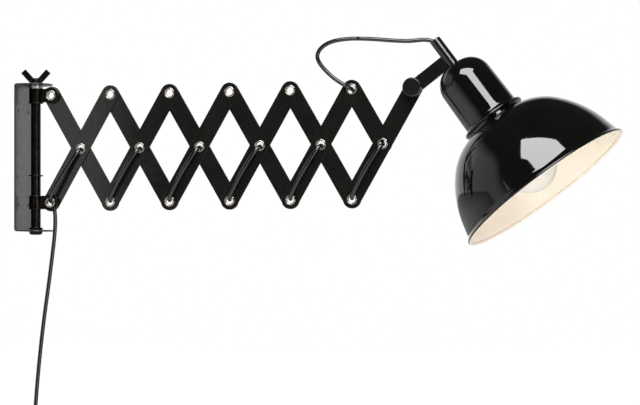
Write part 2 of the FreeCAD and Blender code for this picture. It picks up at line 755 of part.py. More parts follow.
# ---------------------------------------------------------------------------------------------
# Shade: spun cap, ring and bowl
# ---------------------------------------------------------------------------------------------
def shade_cap():
    wall, dome, fillet = dim.shade_wall, dim.cap_dome_radius, dim.cap_foot_radius
    top_radius, foot_radius = dim.cap_radius, dim.cap_flare_radius
    bore = dim.nipple_radius + dim.run_gap
    lip = foot_radius + fillet
    outline = [
        (bore, cap_top), (bore, cap_top - wall), (top_radius - dome, cap_top - wall),
        (top_radius - wall, cap_top - dome, dome - wall, -1),
        (foot_radius - wall, cap_foot + fillet),
        (foot_radius - wall, cap_foot + dim.seat_gap), (lip, cap_foot + dim.seat_gap),
        (lip, cap_foot + wall * 0.6),
        (foot_radius, cap_foot + fillet, fillet, -1),
        (top_radius, cap_top - dome), (top_radius - dome, cap_top, dome, 1),
    ]
    head_piece(turned("Cap", outline), "shade_cap")


def shade_ring():
    """A rolled hoop that clamps the cap's foot to the bowl's neck."""
    inner, outer, tall = dim.neck_radius - dim.shade_wall, dim.ring_reach, dim.ring_height
    half = tall / 2
    outline = [(inner, ring_low), (outer - half, ring_low), (outer, ring_low + half, half, 1),
               (outer - half, cap_foot, half, 1), (inner, cap_foot)]
    head_piece(turned("Hoop", outline), "shade_ring")


def shade_bowl():
    wall = dim.shade_wall
    start, turn, slope = dim.shoulder_start_angle, dim.shoulder_end_angle, dim.skirt_angle
    shoulder, flank = dim.shoulder_radius, dim.flank_radius
    top_z = ring_low - dim.seat_gap
    neck_r = dim.neck_radius

    def path(inset):
        """Outline from the neck down to the mouth, moved in by inset."""
        points = [(neck_r - inset * sine(start), neck_low - inset * cosine(start))]
        radius, height = neck_r, neck_low
        for bend, low, high in ((shoulder, start, turn), (flank, turn, slope)):
            radius = radius + bend * (cosine(high) - cosine(low))
            height = height - bend * (sine(low) - sine(high))
            points.append((radius - inset * cosine(high), height - inset * sine(high),
                           bend - inset, -1))
        radius = radius + dim.skirt_length * sine(slope)
        height = height - dim.skirt_length * cosine(slope)
        points.append((radius - inset * cosine(slope), height - inset * sine(slope)))
        return points

    outer = path(0)
    inner = path(wall)
    outline = [(neck_r - wall, top_z), (neck_r, top_z)] + outer
    outline.append(inner[3])
    outline.append(inner[2][:2])
    outline.append((*inner[1][:2], flank - wall, 1))
    outline.append((*inner[0][:2], shoulder - wall, 1))
    outline.append((neck_r - wall, neck_low - wall))
    bowl = turned("BowlShell", outline)
    mouth_r, mouth_z = outer[3]
    bead = doc.addObject("Part::Torus", "BowlBead")
    bead.setExpression("Radius1", (mouth_r + wall / 2).formula)
    bead.setExpression("Radius2", dim.rim_bead_radius.formula)
    place(bead, (0, 0, mouth_z))
    head_piece(fuse("Bowl", bowl, bead), "shade_bowl")
    return mouth_r, mouth_z


shade_cap()
shade_ring()
mouth_radius, mouth_height = shade_bowl()

# ---------------------------------------------------------------------------------------------
# Lampholder and bulb
# ---------------------------------------------------------------------------------------------
holder_high = nipple_low + dim.holder_top_rise
holder_low = holder_high - dim.holder_length
base_top = holder_low + dim.holder_well_depth - dim.seat_gap - dim.link_gap
base_low = base_top - dim.base_length
globe_z = base_top - dim.globe_drop


def lampholder():
    socket = dim.nipple_radius + dim.run_gap
    top, skirt, well = dim.holder_top_radius, dim.holder_radius, dim.holder_well_radius
    entry_low = holder_high - dim.holder_top_rise
    shoulder = skirt - top
    bead = dim.rim_bead_radius
    collar_z = holder_low + dim.holder_well_depth
    outline = [
        (dim.nipple_bore, entry_low - dim.seat_gap), (socket, entry_low - dim.seat_gap),
        (socket, holder_high), (top, holder_high), (top, entry_low),
        (skirt, entry_low - shoulder, shoulder, -1), (skirt, collar_z + 2 * bead),
        (skirt + bead, collar_z + bead, bead * 1.5, -1), (skirt, collar_z, bead * 1.5, -1),
        (skirt, holder_low), (well, holder_low), (well, collar_z),
        (dim.nipple_bore, collar_z),
    ]
    head_piece(turned("Holder", outline), "lampholder")


def bulb():
    outer, step = dim.base_radius, dim.base_radius * 0.36
    tip_drop = dim.base_length * 0.12
    outline = [(0, base_top), (0, base_low), (outer, base_low), (outer, base_top - 2 * tip_drop),
               (outer - step / 2, base_top - tip_drop), (step, base_top - tip_drop),
               (step, base_top)]
    head_piece(turned("Base", outline[::-1]), "bulb_base")

    wall, neck, globe, fillet = (dim.glass_wall, dim.glass_neck_radius, dim.globe_radius,
                                 dim.glass_neck_fillet)
    # The hollow curve touches the neck's cylinder and the globe: its centre lies level with
    # where it leaves the neck.
    middle_r = neck + fillet
    reach = globe + fillet
    rise = root(reach * reach - middle_r * middle_r)
    touch_r = middle_r * globe / reach
    touch_z = globe_z + rise * globe / reach
    top_z = base_low - dim.seat_gap
    tangent_z = globe_z + rise
    inner_touch_r = middle_r * (globe - wall) / reach
    inner_touch_z = globe_z + rise * (globe - wall) / reach
    outline = [
        (neck, top_z), (neck - wall, top_z), (neck - wall, tangent_z),
        (inner_touch_r, inner_touch_z, fillet + wall, 1),
        (globe - wall, globe_z, globe - wall, -1), (0, globe_z - globe + wall, globe - wall, -1),
        (0, globe_z - globe), (globe, globe_z, globe, 1), (touch_r, touch_z, globe, 1),
        (neck, tangent_z, fillet, -1),
    ]
    head_piece(turned("Glass", outline), "bulb_glass")


lampholder()
bulb()


# ---------------------------------------------------------------------------------------------
# Cord: tubes along straight runs joined by tangent arcs
# ---------------------------------------------------------------------------------------------
def solid_node(shape, name):
    thing = doc.addObject("Part::Feature", "Cord_" + name)
    thing.Shape = shape
    return keep(thing, name)


def rounded_path(points, bends=None):
    """Edges of straight runs joined by tangent arcs.  An arc's radius is 0.45 of its shorter
    run over the tangent of half the turn, or the given bend."""
    edges, radii = [], []
    at = points[0]
    for index in range(1, len(points) - 1):
        corner = points[index]
        back, ahead = points[index - 1] - corner, points[index + 1] - corner
        half_turn = (math.pi - back.getAngle(ahead)) / 2
        shorter = min(back.Length, ahead.Length)
        radius = 0.45 * shorter / math.tan(half_turn)
        if bends and bends[index]:
            radius = bends[index]
        radii.append(radius)
        reach = radius * math.tan(half_turn)
        back.normalize()
        ahead.normalize()
        start, stop = corner + back * reach, corner + ahead * reach
        bisector = (back + ahead).normalize()
        middle = corner + bisector * (radius / math.cos(half_turn) - radius)
        if (start - at).Length > 1e-4:
            edges.append(Part.LineSegment(at, start).toShape())
        edges.append(Part.Arc(start, middle, stop).toShape())
        at = stop
    edges.append(Part.LineSegment(at, points[-1]).toShape())
    return edges, radii


def tube(edges, start, heading):
    """A round tube along edges, and how far its volume is from section times length."""
    radius = dim.cord_radius.number
    ring = Part.Wire(Part.Circle(start, heading, radius).toShape())
    path = Part.Wire(edges)
    shape = path.makePipeShell([ring], True, False)
    expected = math.pi * radius ** 2 * path.Length
    return shape, path.Length, shape.Volume / expected


def cord_node(name, points, bends=None):
    edges, radii = rounded_path(points, bends)
    shape, length, share = tube(edges, points[0], points[1] - points[0])
    tight = ", ".join(f"{radius:.1f}" for radius in radii)
    print(f"{name}: length {length:.1f}, volume share {share:.4f}, radii {tight}")
    return solid_node(shape, name)


def laced(name, near, far, side, near_face, far_face):
    """Cord along one face of a link, between two eyelets: out of one, bowed clear, into the
    next.  side is -1 on the front and 1 at the back; a face is a rim's distance from the arm's
    middle plane."""
    middle_y = arm_y.number
    lift, bow, bend = dim.cord_lift.number, dim.cord_bow.number, dim.cord_bend.number
    near_y = middle_y + side * (near_face.number + lift)
    far_y = middle_y + side * (far_face.number + lift)
    run = FreeCAD.Vector(far[0] - near[0], 0, far[1] - near[1])
    points = [
        FreeCAD.Vector(near[0], middle_y, near[1]),
        FreeCAD.Vector(near[0], near_y, near[1]),
        FreeCAD.Vector(near[0], near_y + side * bow * 0.8, near[1]) + run * 0.28,
        FreeCAD.Vector(near[0], far_y + side * bow, near[1]) + run * 0.68,
        FreeCAD.Vector(far[0], far_y, far[1]),
        FreeCAD.Vector(far[0], middle_y, far[1]),
    ]
    return cord_node(name, points, [None, bend, None, None, bend, None])


rim_face = rim_back_y + dim.rim_thick - arm_y
tab_face = arm_y - lower_tab_front + dim.rim_thick
top_z, low_z = top_pivot_z.number, bottom_pivot_z.number
mid_z = (top_z + low_z) / 2
pull = dim.cord_pull.number
for pair in range(1, LINK_PAIRS + 1):
    near_x = (pivot_x + 2 * (pair - 1) * step_x).number
    middle_x = near_x + step_x.number
    far_x = middle_x + step_x.number
    first_face = tab_face if pair == 1 else rim_face
    # Pulled tight, the cord lies high in the bottom eyelets and low in the middle ones.
    near, middle, far = (near_x, low_z + pull), (middle_x, mid_z - pull * 0.8), (far_x, low_z + pull)
    laced(f"cord_front_{pair}", near, middle, -1, first_face, rim_face)
    if pair < LINK_PAIRS:
        laced(f"cord_rear_{pair}", middle, far, 1, rim_face, rim_face)
    else:
        laced(f"cord_rear_{pair}", middle, (near_x, top_z), 1, rim_face, rim_face)

# The free loop: out of the front of the last top eyelet, up and back over itself, and along to
# the cord grip.  Points are chosen by hand: along the arm from the eyelet, out towards the
# viewer from the arm's middle plane, and up from the pivots.
LOOP_LOWER = [(0, 0, 0), (0, -5.5, 0), (-20, -9, 12.4), (-35.7, -11.5, 30.3),
              (-34.8, -12, 41.2), (-23, -11.6, 50.4), (-3, -10.8, 53.8)]
# The rest ends in the cord grip: points are along from the grip's mouth, out, and up.
LOOP_UPPER = [(-70.6, -8.6, 2.6), (-41, -6.6, -0.3), (-26, -4.8, -0.9), (-10.1, -2.4, 0.9),
              (0, -0.2, -1.7)]


def loop_nodes():
    last_x = (pivot_x + 2 * (LINK_PAIRS - 1) * step_x).number
    start = FreeCAD.Vector(last_x, arm_y.number, top_z)
    lower = [start + FreeCAD.Vector(*point) for point in LOOP_LOWER]
    axis = vector(cosine(dim.head_angle), 0, -sine(dim.head_angle))
    head = vector(head_x, head_y, head_z)
    entry = head - axis * grip_high.number
    upper = [entry + FreeCAD.Vector(*point) for point in LOOP_UPPER]
    # The loop is split half way along a straight run, where one piece hands over to the next.
    join = (lower[-1] + upper[0]) / 2
    in_line = entry + axis * (grip_high - nipple_high + dim.shade_wall).number
    end = head - axis * (nipple_low.number + dim.seat_gap.number)
    cord_node("cord_loop_lower", lower + [join], [None, dim.cord_bend.number] + [None] * 6)
    cord_node("cord_loop_upper", [join] + upper + [in_line, end])


loop_nodes()

# ---------------------------------------------------------------------------------------------
# Mains lead: down from the lower knuckle's eyelet; the rest of it is wound in a tied coil
# ---------------------------------------------------------------------------------------------
# Points chosen by hand: along from the eyelet, out from the arm's middle plane, and up.
LEAD = [(0, 0, 1.1), (0, 4.2, 1.1), (1.4, 7.2, -13), (0.3, 9.1, -32), (-3, 9.4, -58),
        (-6.8, 8.2, -90), (-10.8, 5.4, -124), (-13.8, 1.4, -160), (-15.9, -3.2, -198),
        (-17.2, -7.5, -236), (-17.8, -10.5, -271), (-17.8, -10.5, -300)]
COIL_LAYERS = 4
QUARTER = math.pi / 2


def coil_point(angle):
    """Middle of the cord after winding through angle, and its heading.  The spiral runs in and
    out again, and climbs a layer in the half turn where it reverses."""
    pitch, outer = dim.coil_pitch.number, dim.coil_outer.number
    per_layer = dim.coil_turns.number * 2 * math.pi
    layer = min(int(angle / per_layer), COIL_LAYERS - 1)
    within = angle - layer * per_layer
    inward = layer % 2 == 0
    travelled = within if inward else per_layer - within
    radius = outer - pitch * travelled / (2 * math.pi)
    rate = -pitch / (2 * math.pi) * (1 if inward else -1)
    depth, climb = 0.0, 0.0
    for reversal in range(1, COIL_LAYERS):
        past = angle - reversal * per_layer
        if past > QUARTER:
            depth += pitch
        elif past > -QUARTER:
            depth += pitch * (0.5 + 0.5 * math.sin(past))
            climb += pitch * 0.5 * math.cos(past)
    turn = math.pi + angle
    spot = FreeCAD.Vector(radius * math.cos(turn), depth, radius * math.sin(turn))
    heading = FreeCAD.Vector(
        rate * math.cos(turn) - radius * math.sin(turn), climb,
        rate * math.sin(turn) + radius * math.cos(turn))
    return spot, heading.normalize()


def biarc(start, heading, stop, ending):
    """Two tangent arcs from start to stop."""
    chord, total = stop - start, heading + ending
    bend = 2 * (heading.dot(ending) - 1)
    along = chord.dot(total)
    reach = (along - math.sqrt(along ** 2 - bend * chord.dot(chord))) / bend
    join = (start + heading * reach + stop - ending * reach) / 2
    return [tangent_arc(start, heading, join, reach), tangent_arc(stop, -ending, join, reach)]


def tangent_arc(start, heading, stop, reach):
    middle = (start + stop) / 2
    corner = start + heading * reach
    half_chord = (stop - start).Length / 2
    rise = (corner - middle).Length
    radius = half_chord * reach / rise
    sagitta = radius - math.sqrt(radius ** 2 - half_chord ** 2)
    crown = middle + (corner - middle).normalize() * sagitta
    return Part.Arc(start, crown, stop).toShape()


def least_gap(points, near):
    """Least distance between the surfaces of stretches that are further apart than near."""
    closest = 1e9
    for index, spot in enumerate(points):
        for other in points[index + near:]:
            closest = min(closest, (spot - other).Length)
    return closest - 2 * dim.cord_radius.number


def lead_nodes():
    middle_y = arm_y.number
    start = vector(pivot_x, arm_y, bottom_pivot_z)
    points = [start + FreeCAD.Vector(*point) for point in LEAD]
    cord_node("mains_lead", points, [None, dim.cord_bend.number] + [None] * (len(points) - 2))
    coil_start = points[-1]
    straight = 2 * dim.cord_radius.number
    centre = coil_start + FreeCAD.Vector(dim.coil_outer.number, 0, -straight)
    total = COIL_LAYERS * dim.coil_turns.number * 2 * math.pi
    quarters = math.ceil(total / QUARTER)
    stations = [coil_point(total * index / quarters) for index in range(quarters + 1)]
    stations[0] = (stations[0][0], FreeCAD.Vector(0, 0, -1))
    edges = [Part.LineSegment(coil_start, centre + stations[0][0]).toShape()]
    for (spot, heading), (following, ending) in zip(stations, stations[1:]):
        first, second = biarc(centre + spot, heading, centre + following, ending)
        edges += [first, second]
    last, ending = stations[-1]
    coil_end = centre + last + ending * (2.5 * straight)
    edges.append(Part.LineSegment(centre + last, coil_end).toShape())
    shape, length, share = tube(edges, coil_start, FreeCAD.Vector(0, 0, -1))
    samples = [coil_point(total * index / 720)[0] for index in range(721)]
    print(f"lead_coil: length {length:.1f}, volume share {share:.4f}, "
          f"least gap to itself {least_gap(samples, 40):.2f}")
    solid_node(shape, "lead_coil")
    tie_node(centre)
    plug_nodes(coil_end, ending)


def tie_node(centre):
    """A flat tie round the bundle, at the top of the coil."""
    slack = dim.link_gap
    inner = dim.coil_outer - dim.coil_turns * dim.coil_pitch - dim.cord_radius - slack
    outer = dim.coil_outer + dim.cord_radius + slack
    deep = 3 * dim.coil_pitch + 2 * (dim.cord_radius + slack)
    wall, wide = dim.tie_thick, dim.tie_width
    low_y = -dim.cord_radius - slack
    across_all = outer - inner
    block = box("TieBlock", wide, deep + 2 * wall, across_all + 2 * wall,
                (-wide / 2, low_y - wall, inner - wall))
    hollow = box("TieHollow", wide, deep, across_all, (-wide / 2, low_y, inner))
    tie_cut = cut("Tie", block, hollow)
    tie_cut.Placement = FreeCAD.Placement(centre, FreeCAD.Rotation())
    keep(tie_cut, "coil_tie")


def plug_nodes(coil_end, heading):
    """A flat two-pin plug on the cord's end, its flat side facing out of the coil."""
    relief, long, square = dim.relief_length, dim.plug_length, dim.plug_square
    wide, neck = dim.plug_width / 2, dim.plug_neck / 2
    outline = [(-wide, -relief - long), (wide, -relief - long), (wide, square - relief - long),
               (neck, -relief), (-neck, -relief), (-wide, square - relief - long)]
    body, pad = padded("PlugBody", "XZ_Plane", outline, dim.plug_thick, middle=True)
    round_edges(body, pad, dim.plug_thick / 4, lambda edge: edge.BoundBox.YLength > 1)
    cone = bound("Part::Cone", "Relief", (0, 0, -relief - dim.link_gap),
                 Radius1=dim.relief_radius, Radius2=dim.cord_radius + dim.strap_thick / 2,
                 Height=relief + dim.link_gap)
    pins = []
    for side in (-1, 1):
        depth = dim.plug_thick / 2
        at = (side * dim.pin_spread / 2, 0, -relief - long - dim.pin_length)
        pins.append(cylinder("Pin", dim.pin_radius, dim.pin_length + depth, at))
    holes = []
    for side in (-1, 1):
        at = (side * dim.pin_spread / 2, 0, -relief - long)
        holes.append(cylinder("PinHole", dim.pin_radius, dim.plug_thick / 2, at))
    facing = FreeCAD.Rotation(FreeCAD.Vector(0, 0, -1), heading)
    spot = FreeCAD.Placement(coil_end, facing)
    shell = cut("Plug", fuse("PlugBlank", body, cone), *holes)
    shell.Placement = spot
    keep(shell, "plug")
    pair = group("PlugPins", *pins)
    pair.Placement = spot
    keep(pair, "plug_pins")


lead_nodes()

# ---------------------------------------------------------------------------------------------
# Check everything, then write one file per node
# ---------------------------------------------------------------------------------------------
doc.recompute()
for thing in doc.Objects:
    if "Invalid" in thing.State or "Error" in thing.State:
        raise RuntimeError(f"{thing.Name} ({thing.Label}) did not compute: {thing.State}")
for node in nodes:
    if node.Shape.isNull() or not node.Shape.isValid() or not node.Shape.Solids:
        raise RuntimeError(f"{node.Label} has no valid solid")

os.makedirs("parts", exist_ok=True)
for node in nodes:
    node.Shape.exportStep(os.path.join("parts", node.Label + ".step"))
    size = node.Shape.BoundBox
    print(f"{node.Label}: {len(node.Shape.Solids)} solid(s), {node.Shape.Volume:.0f} mm3, "
          f"x {size.XMin:.1f}..{size.XMax:.1f}, y {size.YMin:.1f}..{size.YMax:.1f}, "
          f"z {size.ZMin:.1f}..{size.ZMax:.1f}")
print(len(nodes), "nodes")
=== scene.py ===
# %% [markdown]
# # An accordion wall lamp
# A lamp on a scissor arm: a steel bracket is screwed to the wall, a spindle stands in it, and
# six pairs of crossed links push the shade out or let it fold back to the wall. The mains cord
# is laced through the hollow eyelets that the links turn on. The engineering model already has
# every part at its true size, so Blender's work here is to dress it: smooth spun metal, enamel,
# rolled nickel, PVC cord, and light that shows them. A lesson that starts from a measured frame
# never has to guess where a piece goes.

# %% Load the engineering model as the frame
import math

import bmesh
import bpy
from mathutils import Matrix, Quaternion, Vector


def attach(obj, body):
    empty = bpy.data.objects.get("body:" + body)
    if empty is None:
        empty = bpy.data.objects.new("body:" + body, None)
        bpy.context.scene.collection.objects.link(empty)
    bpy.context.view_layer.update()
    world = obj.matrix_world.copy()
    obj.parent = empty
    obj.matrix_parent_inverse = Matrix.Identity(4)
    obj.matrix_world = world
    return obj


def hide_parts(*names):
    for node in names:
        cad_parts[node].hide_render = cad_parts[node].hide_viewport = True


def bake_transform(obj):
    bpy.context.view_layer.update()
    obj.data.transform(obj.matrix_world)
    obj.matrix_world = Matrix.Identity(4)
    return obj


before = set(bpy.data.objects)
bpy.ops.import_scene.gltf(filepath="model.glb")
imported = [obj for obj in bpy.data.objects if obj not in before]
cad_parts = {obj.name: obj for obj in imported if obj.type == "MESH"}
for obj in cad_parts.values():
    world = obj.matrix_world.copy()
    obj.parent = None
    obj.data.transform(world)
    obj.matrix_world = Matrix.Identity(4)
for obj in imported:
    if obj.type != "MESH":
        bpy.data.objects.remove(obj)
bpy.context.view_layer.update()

# %% [markdown]
# ## Places that the lamp is built on
# The arm's geometry repeats, so a handful of numbers place everything: the three rows of pivots,
# the step from one pair of links to the next, and the axis of the head. They are written in
# millimetres, as a drawing has them, and turned into Blender's metres in one helper.

# %% Pivots and head axis
MM = 0.001
PIVOT_X, STEP_X = 34.4, 34.608
TOP_Z, MIDDLE_Z, BOTTOM_Z = 69.15, 9.69, -49.77
ARM_Y = 3.05
PAIRS = 6
CORD = 4.5


def mm(x, y, z):
    """A point in metres from a drawing's millimetres."""
    return Vector((x, y, z)) * MM


HEAD = mm(488.88, 2.15, 98.57)
HEAD_AXIS = Vector((-0.6004, 0.0, 0.7997))
print("last top pivot, mm:", PIVOT_X + 10 * STEP_X, "head axis:", tuple(HEAD_AXIS))

# %% [markdown]
# ## The camera
# A long lens keeps the links nearly parallel, as the picture shows them. The camera stands a
# little to the right of square on, so that the inside of the bracket and the wall side of each
# eyelet show. Building its axes from three small angles is easier to adjust than aiming with a
# constraint, and it needs nothing from the render's own frame size.

# %% Camera from three angles and a distance
SWING, PITCH, ROLL = (math.radians(angle) for angle in (16.04, 1.59, -0.15))
camera_data = bpy.data.cameras.new("Camera")
camera_data.lens = 160.3
camera_data.sensor_width = 36.0
camera_data.clip_end = 40.0
camera = bpy.data.objects.new("Camera", camera_data)
bpy.context.scene.collection.objects.link(camera)
bpy.context.scene.camera = camera
looking = Vector((-math.sin(SWING) * math.cos(PITCH), math.cos(SWING) * math.cos(PITCH),
                  math.sin(PITCH)))
level = Vector((math.cos(SWING), math.sin(SWING), 0.0))
upright = level.cross(looking)
right = math.cos(ROLL) * level + math.sin(ROLL) * upright
up = math.cos(ROLL) * upright - math.sin(ROLL) * level
place = mm(345.1, 0.65, -53.0) - looking * 3.078
camera.matrix_world = Matrix((
    (right.x, up.x, -looking.x, place.x),
    (right.y, up.y, -looking.y, place.y),
    (right.z, up.z, -looking.z, place.z),
    (0.0, 0.0, 0.0, 1.0)))
bpy.context.scene.view_settings.view_transform = "Standard"
print("camera at, metres:", tuple(round(value, 3) for value in place))

# %% [markdown]
# ## One helper for node materials
# Every finish below is a small node tree round a Principled shader. The helper makes a material,
# sets the constants on the shader's own sockets, and keeps the tree short to write: `node` adds a
# node with its settings, and `join` links two sockets. Colours are given as a colour picker shows
# them and converted to the linear numbers that the shader wants.

# %% Node helpers


def colour(red, green, blue):
    """Linear colour from 0 to 255 picker values."""
    def linear(value):
        value /= 255
        return value / 12.92 if value <= 0.04045 else ((value + 0.055) / 1.055) ** 2.4
    return (linear(red), linear(green), linear(blue), 1.0)


class Finish:
    """A material under construction."""

    def __init__(self, name, **sockets):
        self.material = bpy.data.materials.new(name)
        self.material.use_nodes = True
        self.tree = self.material.node_tree
        self.shader = self.tree.nodes["Principled BSDF"]
        for socket, value in sockets.items():
            self.shader.inputs[socket.replace("_", " ")].default_value = value
        self.place = self.node("ShaderNodeTexCoord").outputs["Object"]

    def node(self, kind, inputs=None, **settings):
        made = self.tree.nodes.new(kind)
        for name, value in settings.items():
            setattr(made, name, value)
        for name, value in (inputs or {}).items():
            if isinstance(value, bpy.types.NodeSocket):
                self.tree.links.new(value, made.inputs[name])
            else:
                made.inputs[name].default_value = value
        return made

    def join(self, output, socket):
        self.tree.links.new(output, self.shader.inputs[socket])

    def noise(self, scale, detail=3.0, roughness=0.55, stretch=None, distortion=0.0):
        """Cloudy noise with its features about 1 / scale metres across."""
        where = self.place
        if stretch:
            where = self.node("ShaderNodeMapping", {"Vector": where, "Scale": stretch}).outputs[0]
        return self.node("ShaderNodeTexNoise", {
            "Vector": where, "Scale": scale, "Detail": detail, "Roughness": roughness,
            "Distortion": distortion}).outputs["Fac"]

    def ramp(self, value, *stops):
        """Stops are (position, colour) or (position, grey)."""
        ramp = self.node("ShaderNodeValToRGB", {"Fac": value}).color_ramp
        holder = self.tree.nodes[-1]
        while len(ramp.elements) < len(stops):
            ramp.elements.new(0.5)
        for element, (position, shade) in zip(ramp.elements, stops):
            element.position = position
            element.color = shade if isinstance(shade, tuple) else (shade, shade, shade, 1.0)
        return holder.outputs["Color"]

    def mix(self, factor, first, second):
        made = self.node("ShaderNodeMix", data_type="RGBA")
        for index, value in ((0, factor), (6, first), (7, second)):
            if isinstance(value, bpy.types.NodeSocket):
                self.tree.links.new(value, made.inputs[index])
            else:
                made.inputs[index].default_value = value
        return made.outputs[2]

    def edges(self, width):
        """1 where a corner is nearer than width, and 0 on open faces."""
        bevel = self.node("ShaderNodeBevel", {"Radius": width}, samples=6).outputs[0]
        normal = self.node("ShaderNodeNewGeometry").outputs["Normal"]
        dot = self.node("ShaderNodeVectorMath", operation="DOT_PRODUCT")
        self.tree.links.new(bevel, dot.inputs[0])
        self.tree.links.new(normal, dot.inputs[1])
        return self.ramp(dot.outputs["Value"], (0.86, 1.0), (0.995, 0.0))

    def bump(self, height, strength, distance, soften=None):
        """Height field on the surface, over corners softened by a bevel radius."""
        inputs = {"Height": height, "Strength": strength, "Distance": distance}
        if soften:
            inputs["Normal"] = self.node("ShaderNodeBevel", {"Radius": soften},
                                         samples=6).outputs[0]
        self.join(self.node("ShaderNodeBump", inputs).outputs[0], "Normal")


print("helpers ready")

# %% [markdown]
# ## Enamel on the links and the bracket
# The links are blanked from sheet steel and dipped in a charcoal enamel that dries to a satin
# skin: slightly cloudy, with a very fine orange peel, and rubbed lighter along the stamped edges
# where neighbours pass. The bracket has the same enamel a shade greyer. A cloudy noise varies the
# colour, a second one varies the roughness, and the bevel node finds the edges, which is why no
# image is needed.

# %% Charcoal enamel for the links, grey enamel for the bracket


def satin_enamel(name, dark, light, worn, low_rough, high_rough):
    made = Finish(name, Specular_IOR_Level=0.45)
    clouds = made.noise(38.0, 4.0)
    body = made.ramp(clouds, (0.3, colour(*dark)), (0.7, colour(*light)))
    scuffs = made.noise(900.0, 3.0, stretch=(1.0, 1.0, 0.35))
    rubbed = made.node("ShaderNodeMath", operation="MULTIPLY")
    made.tree.links.new(made.edges(0.0005), rubbed.inputs[0])
    made.tree.links.new(made.ramp(scuffs, (0.42, 0.0), (0.66, 0.35)), rubbed.inputs[1])
    made.join(made.mix(rubbed.outputs[0], body, colour(*worn)), "Base Color")
    made.join(made.ramp(made.noise(160.0), (0.3, low_rough), (0.7, high_rough)), "Roughness")
    made.bump(made.noise(420.0, 2.0), 0.02, 0.0002, soften=0.0003)
    return made.material


link_enamel = satin_enamel("link_enamel", (11, 11, 10), (16, 16, 14), (50, 48, 45), 0.1, 0.17)
bracket_enamel = satin_enamel("bracket_enamel", (24, 24, 25), (32, 32, 33), (64, 62, 60),
                              0.2, 0.32)
print("enamels:", link_enamel.name, bracket_enamel.name)

# %% [markdown]
# ## Blackened steel, zinc washers, nickel and bright screws
# The spindle and knuckles are steel that was oil blackened, so they are metal with a dark, uneven
# skin that thins on the corners. Washers, screw and nut are zinc plated and lighter. Eyelets are
# nickel plated and were rolled over by a punch, which leaves faint rings. Brass shows only on the
# threaded nipple. One function makes them all, because they differ in colour, sheen and how
# strongly the brushing runs, not in kind.

# %% Metals


def plated_metal(name, dark, light, edge, roughness, brushing=(1.0, 1.0, 1.0), depth=0.1):
    made = Finish(name, Metallic=1.0)
    body = made.ramp(made.noise(120.0, 4.0), (0.32, colour(*dark)), (0.7, colour(*light)))
    made.join(made.mix(made.edges(0.0004), body, colour(*edge)), "Base Color")
    low, high = roughness
    grain = made.noise(650.0, 3.0, stretch=brushing)
    made.join(made.ramp(grain, (0.3, low), (0.72, high)), "Roughness")
    made.bump(grain, depth, 0.00015, soften=0.00025)
    return made.material


blackened_steel = plated_metal("blackened_steel", (22, 22, 20), (40, 39, 37), (96, 92, 88),
                               (0.2, 0.36), (1.0, 1.0, 6.0))
zinc_washers = plated_metal("zinc_washers", (176, 174, 170), (206, 204, 200), (226, 224, 220),
                            (0.24, 0.4), (1.0, 1.0, 9.0))
nickel = plated_metal("nickel", (132, 123, 114), (170, 160, 150), (198, 188, 178), (0.16, 0.26),
                      depth=0.03)
screw_steel = plated_metal("screw_steel", (150, 148, 145), (184, 182, 178), (214, 212, 208),
                           (0.2, 0.36), (1.0, 7.0, 1.0))
nipple_brass = plated_metal("nipple_brass", (150, 118, 62), (186, 150, 86), (214, 184, 120),
                            (0.22, 0.4))
base_nickel = plated_metal("base_nickel", (170, 168, 160), (204, 202, 194), (226, 224, 218),
                           (0.18, 0.34))
pin_nickel = plated_metal("pin_nickel", (184, 178, 164), (212, 206, 192), (232, 228, 216),
                          (0.16, 0.3))
print("metals:", sum(finish.node_tree is not None for finish in bpy.data.materials))

# %% [markdown]
# ## Gloss enamel on the shade, and the pale inside
# A spun aluminium shade is stove enamelled twice: black and glossy outside, warm white and softer
# inside. The black reads as black because it reflects only a few percent of the room, in sharp
# shapes, so its roughness stays low and its bump is only the faint ripple that spinning leaves
# round the axis. Rings round a slanting axis need a coordinate along it, which is one dot product.

# %% Shade finishes


def along_head(made, stretch):
    """How far a point lies along the head's axis, times stretch."""
    dot = made.node("ShaderNodeVectorMath", operation="DOT_PRODUCT")
    made.tree.links.new(made.place, dot.inputs[0])
    dot.inputs[1].default_value = HEAD_AXIS * stretch
    return dot.outputs["Value"]


def spun_enamel(name, dark, light, roughness, specular):
    made = Finish(name, Specular_IOR_Level=specular)
    body = made.ramp(made.noise(24.0, 3.0), (0.3, colour(*dark)), (0.7, colour(*light)))
    dust = made.ramp(made.noise(2600.0, 2.0), (0.72, 0.0), (0.82, 0.35))
    speck = tuple(min(1.0, part * 1.6 + 0.01) for part in colour(*light)[:3]) + (1.0,)
    made.join(made.mix(dust, body, speck), "Base Color")
    low, high = roughness
    made.join(made.ramp(made.noise(70.0, 4.0), (0.3, low), (0.75, high)), "Roughness")
    rings = made.node("ShaderNodeTexNoise", {"W": along_head(made, 1.0), "Scale": 260.0,
                                             "Detail": 1.0}, noise_dimensions="1D")
    made.bump(rings.outputs["Fac"], 0.12, 0.0001)
    return made.material


shade_black = spun_enamel("shade_black", (4, 4, 4), (7, 7, 6), (0.03, 0.07), 0.5)
shade_white = spun_enamel("shade_white", (246, 234, 216), (250, 240, 225), (0.26, 0.38), 0.5)
print("shade finishes:", shade_black.name, shade_white.name)

# %% [markdown]
# ## Plastics, PVC cord and opal glass
# The cord's PVC is glossy with a faint waviness; the knob, grip and tie are moulded and a little
# duller; the lampholder is phenolic, hard and slightly mottled. The bulb is opal: light from the
# room sinks into a white coating inside the glass, so the shader gives it subsurface and a clear
# coat instead of transparency, which also keeps the inside of the lamp quiet.

# %% Plastics and glass


